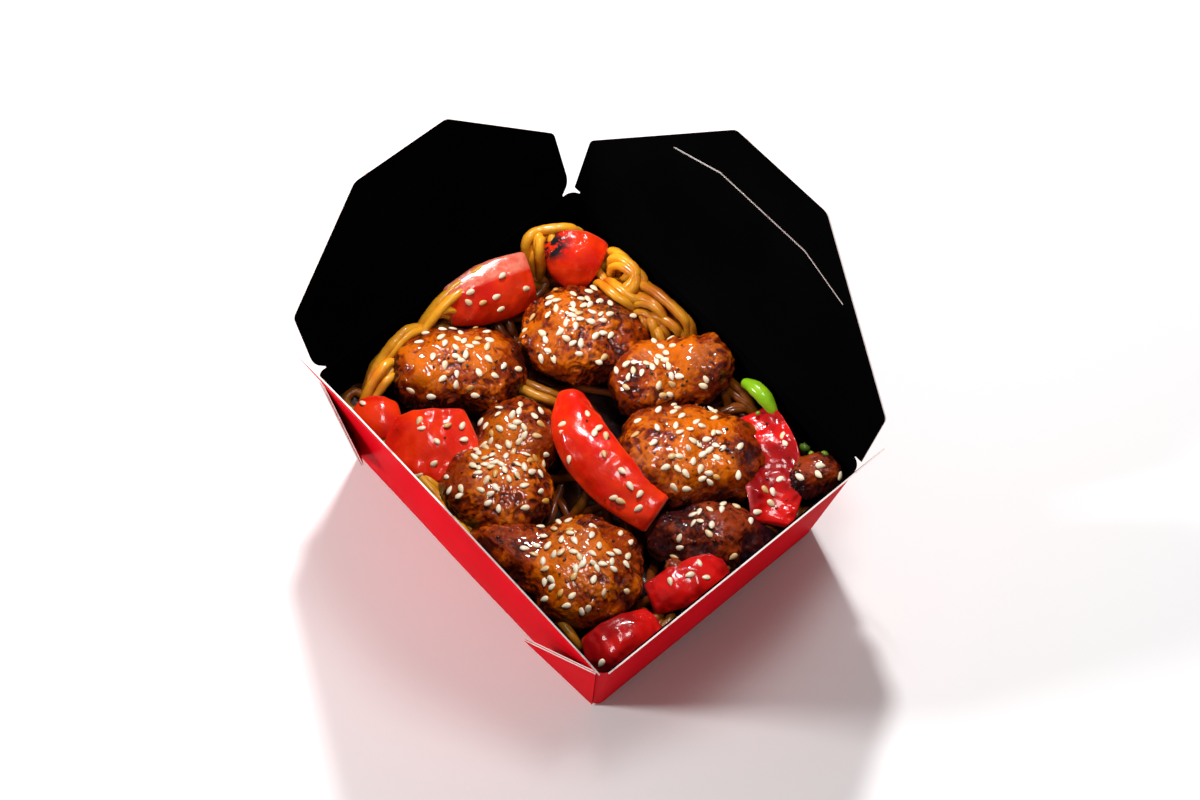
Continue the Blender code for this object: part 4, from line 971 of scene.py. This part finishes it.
def smooth_path(points, step):
    """A Catmull-Rom curve through the points, sampled at even steps."""
    p = np.array(points, float)
    p = np.vstack([2 * p[0] - p[1], p, 2 * p[-1] - p[-2]])
    out = []
    for i in range(1, len(p) - 2):
        t = np.linspace(0, 1, 24, endpoint=False)[:, None]
        a, b, c, d = p[i - 1:i + 3]
        out.append(0.5 * (2 * b + (c - a) * t + (2 * a - 5 * b + 4 * c - d) * t ** 2
                          + (3 * b - a - 3 * c + d) * t ** 3))
    path = np.vstack(out + [p[-2][None]])
    length = np.concatenate([[0], np.cumsum(np.linalg.norm(np.diff(path, axis=0), axis=1))])
    stations = np.linspace(0, length[-1], max(3, int(round(length[-1] / step)) + 1))
    return np.stack([np.interp(stations, length, path[:, k]) for k in range(3)], axis=1)


def tube(path, radius, sides, number):
    """A noodle: a slightly flattened round section carried along a path, uneven by up to a
    twentieth, with its ends drawn in."""
    tangent = unit(np.gradient(path, axis=0))
    side = unit(np.cross(tangent, (0.12, 0.21, 0.97)))
    up = np.cross(side, tangent)
    n = len(path)
    swell = 1 + 0.05 * np.sin(np.arange(n) * 0.7 + number) + 0.03 * np.sin(np.arange(n) * 1.9 + number * 2)
    ends = np.minimum(np.arange(n), np.arange(n)[::-1])
    swell = swell * np.where(ends == 0, 0.05, np.where(ends == 1, 0.8, 1.0))
    angle = 2 * np.pi * np.arange(sides) / sides
    rings = path[:, None] + (radius * swell)[:, None, None] * (
        1.04 * np.cos(angle)[None, :, None] * side[:, None] + 0.92 * np.sin(angle)[None, :, None] * up[:, None])
    return rings.reshape(-1, 3), grid_faces(n, sides, close=True)


def build_strands(name, paths, radius, sides, finish):
    """Noodles along many paths as one mesh, with a value for how high each point lies, which the finish turns into
    painted shade lower down.
    """
    points, faces, start = [], [], 0
    for number, path in enumerate(paths):
        p, f = tube(path, radius, sides, number)
        points.append(p)
        faces.append(f + start)
        start += len(p)
    points = np.concatenate(points)
    # Towards the back-left corner the height value is halved, so the noodles there come out darker.
    back_left_corner = smooth_step(-52.0, -30.0, points[:, 0]) * smooth_step(38.0, 52.0, points[:, 1])
    height = smooth_step(38.0, 56.0, points[:, 2]) * (1 - 0.5 * back_left_corner)
    return surface(name, points, np.concatenate(faces), (finish,), values={"height": height})


def heap_paths(count):
    """Noodles that wander over the heap: each turns slowly at random and follows its top."""
    rng = np.random.default_rng(77)
    steps, stride = 46, 1.5
    turn_x, turn_y, reach_x, reach_y = 77, 60, 78.5, 61.0
    x, y = rng.uniform(-74, 74, count), rng.uniform(-58, 58, count)
    heading = rng.uniform(0, 2 * np.pi, count)
    bend = rng.uniform(-0.07, 0.07, count)
    track = np.empty((steps, count, 2))
    for k in range(steps):
        track[k] = np.stack([x, y], -1)
        heading = heading + bend + 0.05 * np.sin(k * 0.35 + bend * 90)
        x, y = x + stride * np.cos(heading), y + stride * np.sin(heading)
        back = (np.abs(x) > turn_x) | (np.abs(y) > turn_y)
        heading = np.where(back, heading + 0.35, heading)
        x, y = np.clip(x, -reach_x, reach_x), np.clip(y, -reach_y, reach_y)
    flat = track.reshape(-1, 2)
    z = heap_height(flat[:, 0], flat[:, 1]).reshape(steps, count)
    pad = np.pad(z, ((4, 4), (0, 0)), mode="edge")
    z = sum(pad[k:k + steps] for k in range(9)) / 9 + rng.uniform(-1.2, 1.4, count)
    paths = np.concatenate([track, z[..., None]], -1)
    return [inside_walls(paths[:, k], WALL_GAP + NOODLE_RADIUS) for k in range(count)]


def bundle_paths(routes, beside):
    """Further strands beside and below each showing one, each bent a little its own way."""
    rng = np.random.default_rng(31)
    paths = []
    for route in routes:
        for _ in range(beside):
            shift = np.array([*rng.uniform(-4.5, 4.5, 2), rng.uniform(-4.5, -0.2)])
            phase, way = rng.uniform(0, 6.28), rng.uniform(-1, 1, 3)
            s = np.linspace(0, 1, len(route))[:, None]
            bent = route + shift + way * 1.6 * np.sin(3.5 * s + phase)
            paths.append(inside_walls(bent, WALL_GAP + NOODLE_RADIUS))
    return paths


def wall_paths(count):
    """Strands that lie along the inside of the walls, a few millimetres in, rising and falling."""
    rng = np.random.default_rng(58)
    paths = []
    for _ in range(count):
        s = np.linspace(0, 1, 44)
        z = rng.uniform(41.0, 47.5) + 2.0 * np.sin(s * 6 + rng.uniform(0, 6)) - 9 * np.abs(2 * s - 1) ** 6
        inset = rng.uniform(0, 7) + 1.5 * np.sin(s * 5 + rng.uniform(0, 6))
        hx, hy = half_sizes(z)
        reach, start = rng.uniform(35, 70), rng.uniform(-0.8, 0.5)
        if rng.uniform() < 0.5:
            x = start * 75 + reach * (s - 0.2)
            y = np.sign(rng.uniform(-1.6, 1)) * (hy - 3 - inset)
        else:
            y = start * 58 + reach * (s - 0.2)
            way = np.sign(rng.uniform(-1, 1.6))
            x = way * (hx - 3 - inset)
            z = z - 5.0 * (way > 0)
        paths.append(inside_walls(np.stack([x, y, z], -1), WALL_GAP + NOODLE_RADIUS))
    return paths


def build_core():
    """The heap's body between the walls: a height field with sides down to the carton's floor."""
    nx, ny = 110, 88
    u, v = np.meshgrid(np.linspace(-1, 1, nx), np.linspace(-1, 1, ny), indexing="ij")
    hx, hy = half_sizes(HEAP_TOP * 0.8)
    z = heap_height((u * (hx - 2)).ravel(), (v * (hy - 2)).ravel()).reshape(nx, ny)
    for _ in range(3):
        z = np.pad(z, 1, mode="edge")
        z = sum(z[1 + a:nx + 1 + a, 1 + b:ny + 1 + b] for a in (-1, 0, 1) for b in (-1, 0, 1)) / 9
    z = z.ravel() - 1.2
    wide_x, wide_y = half_sizes(z)
    top = np.stack([u.ravel() * wide_x, v.ravel() * wide_y, z], -1)
    top = top + 0.5 * turned_noise(top, 3.0, 9)[:, None] * (0, 0, 1)
    low_x, low_y = half_sizes(HEAP_FOOT)
    low = np.stack([u.ravel() * low_x, v.ravel() * low_y, np.full(nx * ny, HEAP_FOOT)], -1)
    count = nx * ny
    index = np.arange(count).reshape(nx, ny)
    sheet = grid_faces(nx, ny)[:, [0, 3, 2, 1]]
    rim = np.concatenate([index[:, 0], index[-1, 1:], index[-2::-1, -1], index[0, -2:0:-1]])
    after = np.roll(rim, -1)
    walls = np.stack([rim + count, after + count, after, rim], -1)
    faces = np.concatenate([sheet, sheet[:, ::-1] + count, walls])
    points = inside_walls(np.concatenate([top, low]))
    # The stored height value makes the heap's top darker the lower it lies: painted shade.
    return surface("noodle_heap", points, faces, (NOODLE_CORE,),
                   values={"height": smooth_step(34.0, 46.0, points[:, 2])}, sharp=50)


# Sesame seeds


def chunk_spots(name, draws):
    """Points and outward normals on a chicken piece for draws of turn and steepness."""
    spec = CHICKEN[name]
    number = chunk_number(name)
    turn, steep = draws[:, 0] * math.tau, 1 - 0.72 * draws[:, 1]
    flat = np.sqrt(1 - steep ** 2)
    way = np.stack([flat * np.cos(turn), flat * np.sin(turn), steep], -1)
    side = unit(np.cross(way, (0.3, 0.2, 0.93)))
    spots = []
    for move in (0 * way, 0.05 * side, 0.05 * np.cross(side, way)):
        near = unit(way + move)
        spots.append(near * chunk_radius(spec, near, number)[:, None])
    normal = np.cross(spots[1] - spots[0], spots[2] - spots[0])
    return spots[0] + np.array(spec["at"], float), facing(normal, way)


def strip_spots(name, draws):
    """Points and outward normals on a pepper piece's outward side."""
    spec = PEPPERS[name]
    t, v = 0.08 + 0.84 * draws[:, 0], -0.8 + 1.6 * draws[:, 1]
    spots = [strip_skin(spec, a, b, 1) for a, b in ((t, v), (t + 0.01, v), (t, v + 0.01))]
    normal = np.cross(spots[1] - spots[0], spots[2] - spots[0])
    return spots[0], facing(normal, strip_frame(spec, t)[3])


def spots_on(name, draws):
    """Points and outward normals on any piece that carries seeds."""
    return (chunk_spots if name in CHICKEN else strip_spots)(name, draws)


def facing(normal, outward):
    """Unit normals turned to the outward side."""
    normal = unit(normal)
    return normal * np.sign((normal * outward).sum(1))[:, None]


def clear_by_form(places, own):
    """Whether each point keeps clear of the other pieces, the noodles and the walls."""
    good = places[:, 2] < FOOD_TOP - 0.4
    for number, (name, spec) in enumerate(CHICKEN.items()):
        if name != own:
            away = places - np.array(spec["at"], float)
            far = np.linalg.norm(away, axis=1)
            good &= far > chunk_radius(spec, away / far[:, None], number + 1) + SEED_CLEAR + 0.6
    t, v = np.meshgrid(np.linspace(0, 1, 24), np.linspace(-1, 1, 9), indexing="ij")
    for name, spec in PEPPERS.items():
        if name != own:
            skin = np.concatenate([strip_skin(spec, t, v, face) for face in (1, 0, -1)])
            good &= np.linalg.norm(places[:, None] - skin[None], axis=2).min(1) > SEED_CLEAR + 1.0
    strands = np.concatenate([smooth_path(route, 2.0) for route in NOODLES])
    good &= np.linalg.norm(places[:, None] - strands[None], axis=2).min(1) > SEED_CLEAR + NOODLE_RADIUS
    hx, hy = half_sizes(places[:, 2])
    dx, dy = hx - BOARD - WALL_GAP - np.abs(places[:, 0]), hy - BOARD - WALL_GAP - np.abs(places[:, 1])
    return good & (np.minimum(dx, dy) > SEED_CLEAR) & (dx + dy > 3 * SEED_CLEAR)


def seed_places(name, count, number):
    """Places, normals and turns of a piece's seeds by a seeded draw over its upward side."""
    draws = np.random.default_rng(number).uniform(0, 1, (count * 30, 3))
    places, normals = spots_on(name, draws)
    good = clear_by_form(places, name) & (normals[:, 2] > 0.35)
    kept = []
    for k in np.flatnonzero(good):
        if len(kept) < count and all(np.linalg.norm(places[k] - places[other]) > SEED_SPACING for other in kept):
            kept.append(int(k))
    return places[kept], normals[kept], draws[kept, 2] * math.tau


# How many further seeds each piece shows between the ones that its solid carries
MORE_SEEDS = {"chicken_1": 30, "chicken_2": 22, "chicken_3": 16, "chicken_4": 26, "chicken_5": 44, "chicken_6": 32,
              "chicken_7": 8, "chicken_8": 2, "pepper_1": 3, "pepper_3": 4, "pepper_5": 6, "pepper_6": 3,
              "pepper_8": 2}


def more_places(name, count, number, taken):
    """Further seeds, gathered in clusters on the piece's top, and allowed nearer each other."""
    rng = np.random.default_rng(number)
    draws = rng.uniform(0, 1, (count * 40, 3))
    draws[:, 1] = draws[:, 1] ** 1.5 if name in CHICKEN else draws[:, 1]
    places, normals = spots_on(name, draws)
    good = clear_by_form(places, name) & (normals[:, 2] > 0.3)
    good &= turned_noise(places, 7.0, number) > rng.uniform(-0.9, 0.5, len(places))
    kept, near = [], list(taken)
    for k in np.flatnonzero(good):
        if len(kept) == count:
            break
        if all(np.linalg.norm(places[k] - other) > MORE_SPACING for other in near):
            kept.append(int(k))
            near.append(places[k])
    return places[kept], normals[kept], draws[kept, 2] * math.tau


def copies(name, points, faces, finish, tones):
    """Many copies of one form as one mesh: a set of points for each, and a tone for each."""
    count, size = points.shape[:2]
    faces = faces[None] + (np.arange(count) * size)[:, None, None]
    return surface(name, points.reshape(-1, 3), faces.reshape(-1, 4), (finish,),
                   values={"tone": np.repeat(tones, size)})


def seed_form():
    """One seed: a flat teardrop of six rings between two tips, one unit long each way."""
    x = np.array([-1.0, -0.86, -0.5, 0.0, 0.45, 0.82, 1.0])
    r = np.sqrt(np.maximum(1 - x * x, 0)) * (1 - 0.25 * x)
    r[0] = r[-1] = 0.02
    angle = 2 * np.pi * np.arange(8) / 8
    rings = np.stack([np.repeat(x, 8), np.outer(r, np.cos(angle)).ravel(), np.outer(r, np.sin(angle)).ravel()], -1)
    faces = grid_faces(len(x), 8, close=True)
    tips = np.array([[0, 1, 2, 3], [0, 3, 4, 5], [0, 5, 6, 7]])
    return rings, np.concatenate([faces, tips, tips[:, ::-1] + 48])


def build_seeds():
    """All seeds as one mesh: the seed form turned to lie on its piece, slightly tilted, in its
    own size and tone."""
    places, normals, turns = [], [], []
    for number, name in enumerate(SEED_ORDER):
        spec = {**CHICKEN, **PEPPERS}[name]
        sets = [seed_places(name, spec["seeds"], 100 + number)]
        if name in MORE_SEEDS:
            sets.append(more_places(name, MORE_SEEDS[name], 300 + number, sets[0][0]))
        for place, normal, turn in sets:
            places.append(lift_onto(name, place))
            normals.append(normal)
            turns.append(turn)
    places, normals, turns = np.concatenate(places), np.concatenate(normals), np.concatenate(turns)
    rng = np.random.default_rng(9)
    count = len(places)
    normals = unit(normals + rng.normal(0, 0.16, (count, 3)))
    helper = np.stack([np.cos(turns), np.sin(turns), np.full(count, 0.1)], -1)
    x_axis = unit(helper - normals * (helper * normals).sum(1)[:, None])
    frames = np.stack([x_axis, np.cross(normals, x_axis), normals], 1)
    form, faces = seed_form()
    size = np.array(SEED_HALF) * rng.uniform(1.02, 1.24, (count, 1))
    points = np.einsum("km,nmj->nkj", form, frames * size[:, :, None]) + (places + normals * 0.24)[:, None]
    print("seeds shown:", count)
    return copies("sesame_seeds", points, faces, SESAME, rng.uniform(0, 1, count) ** 1.8)


# Crumbs of dark crust on each piece, and small bits of green pepper: place and half size
CRUMBS = {"chicken_1": 26, "chicken_2": 20, "chicken_3": 22, "chicken_4": 26, "chicken_5": 22, "chicken_6": 24,
          "chicken_7": 14, "pepper_5": 5, "pepper_6": 8, "pepper_3": 3}
GREEN_BITS = (((70, 63.2, 55.4), 1.6), ((60.5, 62.3, 48.8), 2.0), ((66, 60, 54.5), 1.2), ((39, 56.5, 54.4), 1.1))


def build_bits(name, places, sizes, finish, number):
    """Small uneven lumps as one mesh: a coarse ball, dented by noise and flattened a little."""
    rng = np.random.default_rng(number)
    directions, faces = ball(2)
    stretch = rng.uniform(0.6, 1.3, (len(places), 3)) * np.asarray(sizes)[:, None]
    dent = rng.uniform(0.75, 1.1, (len(places), len(directions), 1))
    points = np.asarray(places)[:, None] + directions * dent * stretch[:, None]
    return copies(name, points, faces, finish, rng.uniform(0, 1, len(places)))


def build_crumbs():
    """Dark crumbs scattered over the pieces by the seeds' rule."""
    places = []
    for number, (name, count) in enumerate(CRUMBS.items()):
        found = more_places(name, count, 500 + number, [])
        places.append(lift_onto(name, found[0]) + found[1] * 0.15)
    places = np.concatenate(places)
    sizes = np.random.default_rng(12).uniform(0.35, 0.85, len(places))
    return build_bits("dark_crumbs", places, sizes, CRUMB, 13)


def lift_onto(name, places):
    """Moves points from the solid's plain form out onto the fine relief."""
    if name not in CHICKEN or not len(places):
        return places
    spec = CHICKEN[name]
    away = places - np.array(spec["at"], float)
    way = unit(away)
    relief = chunk_relief(spec, way, chunk_number(name))[0]
    return inside_walls(places + way * (relief + 0.1)[:, None], WALL_GAP + 1)


SEED_ORDER = ("chicken_6", "pepper_5", "pepper_6", "chicken_4", "chicken_5", "chicken_1", "chicken_2",
              "pepper_3", "chicken_3", "pepper_1", "pepper_2", "pepper_4", "pepper_7", "chicken_9",
              "pepper_8", "chicken_8", "chicken_7", "green_pepper")


# Putting the box together


def carry(obj, body, *stands_for):
    """Rides a piece on a body and says which solids it stands for."""
    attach(obj, body)
    if stands_for:
        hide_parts(*stands_for)
    return obj


def build_box():
    carry(build_carton(), "root", "carton")
    carry(build_gussets(), "root")
    for side in FLAP_TURN:
        carry(build_flap(side), f"flap_{side}", f"flap_{side}")
        build_crease(side)


# Grid steps across a cube's side for the chicken; the small pieces also take the darker finish, which is partly
# painted shade
CHUNK_STEPS = 78
SMALL_CHUNK_STEPS = {"chicken_7": 60, "chicken_8": 40, "chicken_9": 28}
HEAP_STRANDS, BESIDE_EACH, WALL_STRANDS = 100, 3, 46
STRAND_RADIUS = 1.9


def build_food():
    for name in CHICKEN:
        finish = CHICKEN_DARK_SHADED if name in SMALL_CHUNK_STEPS else CHICKEN_GLAZE
        carry(build_chunk(name, SMALL_CHUNK_STEPS.get(name, CHUNK_STEPS), finish), "root", name)
    for name in PEPPERS:
        carry(build_pepper(name), "root", name)
    routes = [smooth_path(route, 1.2) for route in NOODLES]
    carry(build_core(), "root", "noodles")
    beside = bundle_paths(routes, BESIDE_EACH) + wall_paths(WALL_STRANDS)
    for name, paths, radius, sides in (("noodles_on_top", routes, NOODLE_RADIUS, 14),
                                       ("noodles_in_heap", heap_paths(HEAP_STRANDS), STRAND_RADIUS, 10),
                                       ("noodles_beside", beside, STRAND_RADIUS, 10)):
        carry(build_strands(name, paths, radius, sides, NOODLE_GOLD), "root")
    carry(build_seeds(), "root")
    carry(build_crumbs(), "root")
    bits = build_bits("green_bits", [place for place, _ in GREEN_BITS], [size for _, size in GREEN_BITS],
                      GREEN_DARK, 14)
    carry(bits, "root")


# Camera, light and floor


# The photograph's view: degrees round, above level and of roll, then millimetres and pixels
VIEW_ANGLES = (45.585, 60.932, 3.216)
VIEW_CENTRE, VIEW_DISTANCE = (-4.085, 10.757, 60.0), 969.65
VIEW_FOCAL, VIEW_WIDTH, SENSOR = 2457.665, 1200, 36.0

# Lights: name, place in metres, size in metres and power in watts
LIGHTS = (
    ("key", (-0.55, 0.45, 1.15), (0.12, 0.12), 15),
    ("front", (-0.50, -0.85, 0.75), (0.18, 0.16), 9),
    ("top", (0.10, 0.10, 1.30), (0.24, 0.24), 4),
    ("side", (0.90, -0.65, 0.60), (0.06, 0.06), 0.2),
)
LIGHT_TARGET = (0, 0, 0.05)
FLOOR_HALF, FLOOR_DROP = 4000, 0.05


def aim(obj, place, target, roll=0.0):
    """Turns a camera or light at a place towards a target, with a roll about its own axis."""
    back = (Vector(place) - Vector(target)).normalized()
    right = Vector((0, 0, 1)).cross(back).normalized()
    up = back.cross(right)
    turned = Matrix((right, up, back)).transposed().to_4x4()
    obj.matrix_world = Matrix.Translation(place) @ turned @ Matrix.Rotation(roll, 4, "Z")


def build_camera():
    """The photograph's view: 969.65 mm from the aim point, 60.9 degrees above level."""
    camera = bpy.data.cameras.new("camera")
    camera.sensor_width = SENSOR
    camera.lens = SENSOR * VIEW_FOCAL / VIEW_WIDTH
    camera.clip_start = 0.01
    obj = bpy.data.objects.new("camera", camera)
    bpy.context.scene.collection.objects.link(obj)
    azimuth, elevation, roll = (math.radians(angle) for angle in VIEW_ANGLES)
    centre = Vector(VIEW_CENTRE) * MM
    back = Vector((math.sin(azimuth) * math.cos(elevation), -math.cos(azimuth) * math.cos(elevation),
                   math.sin(elevation)))
    aim(obj, centre + back * VIEW_DISTANCE * MM, centre, roll)
    bpy.context.scene.camera = obj


def soft_light(name, place, size, watts):
    light = bpy.data.lights.new(name, "AREA")
    light.shape = "RECTANGLE"
    light.size, light.size_y = size
    light.energy = watts
    obj = bpy.data.objects.new(name, light)
    bpy.context.scene.collection.objects.link(obj)
    aim(obj, place, LIGHT_TARGET)


def build_stage():
    world = bpy.data.worlds.new("studio")
    bpy.context.scene.world = world
    world.use_nodes = True
    world.node_tree.nodes["Background"].inputs["Color"].default_value = (1, 1, 1, 1)
    world.node_tree.nodes["Background"].inputs["Strength"].default_value = 0.17
    bpy.context.scene.view_settings.view_transform = "Standard"
    finish, _, _ = new_finish("floor_pale", Base_Color=(0.90, 0.90, 0.90, 1), Roughness=0.9, Specular_IOR_Level=0.1)
    corners = np.array([(-1, -1, 0), (1, -1, 0), (1, 1, 0), (-1, 1, 0)]) * FLOOR_HALF - np.array([0, 0, FLOOR_DROP])
    floor = surface("floor", corners, np.array([[0, 1, 2, 3]]), (finish,))
    for row in LIGHTS:
        soft_light(*row)


build_box()
build_food()
build_camera()
build_stage()
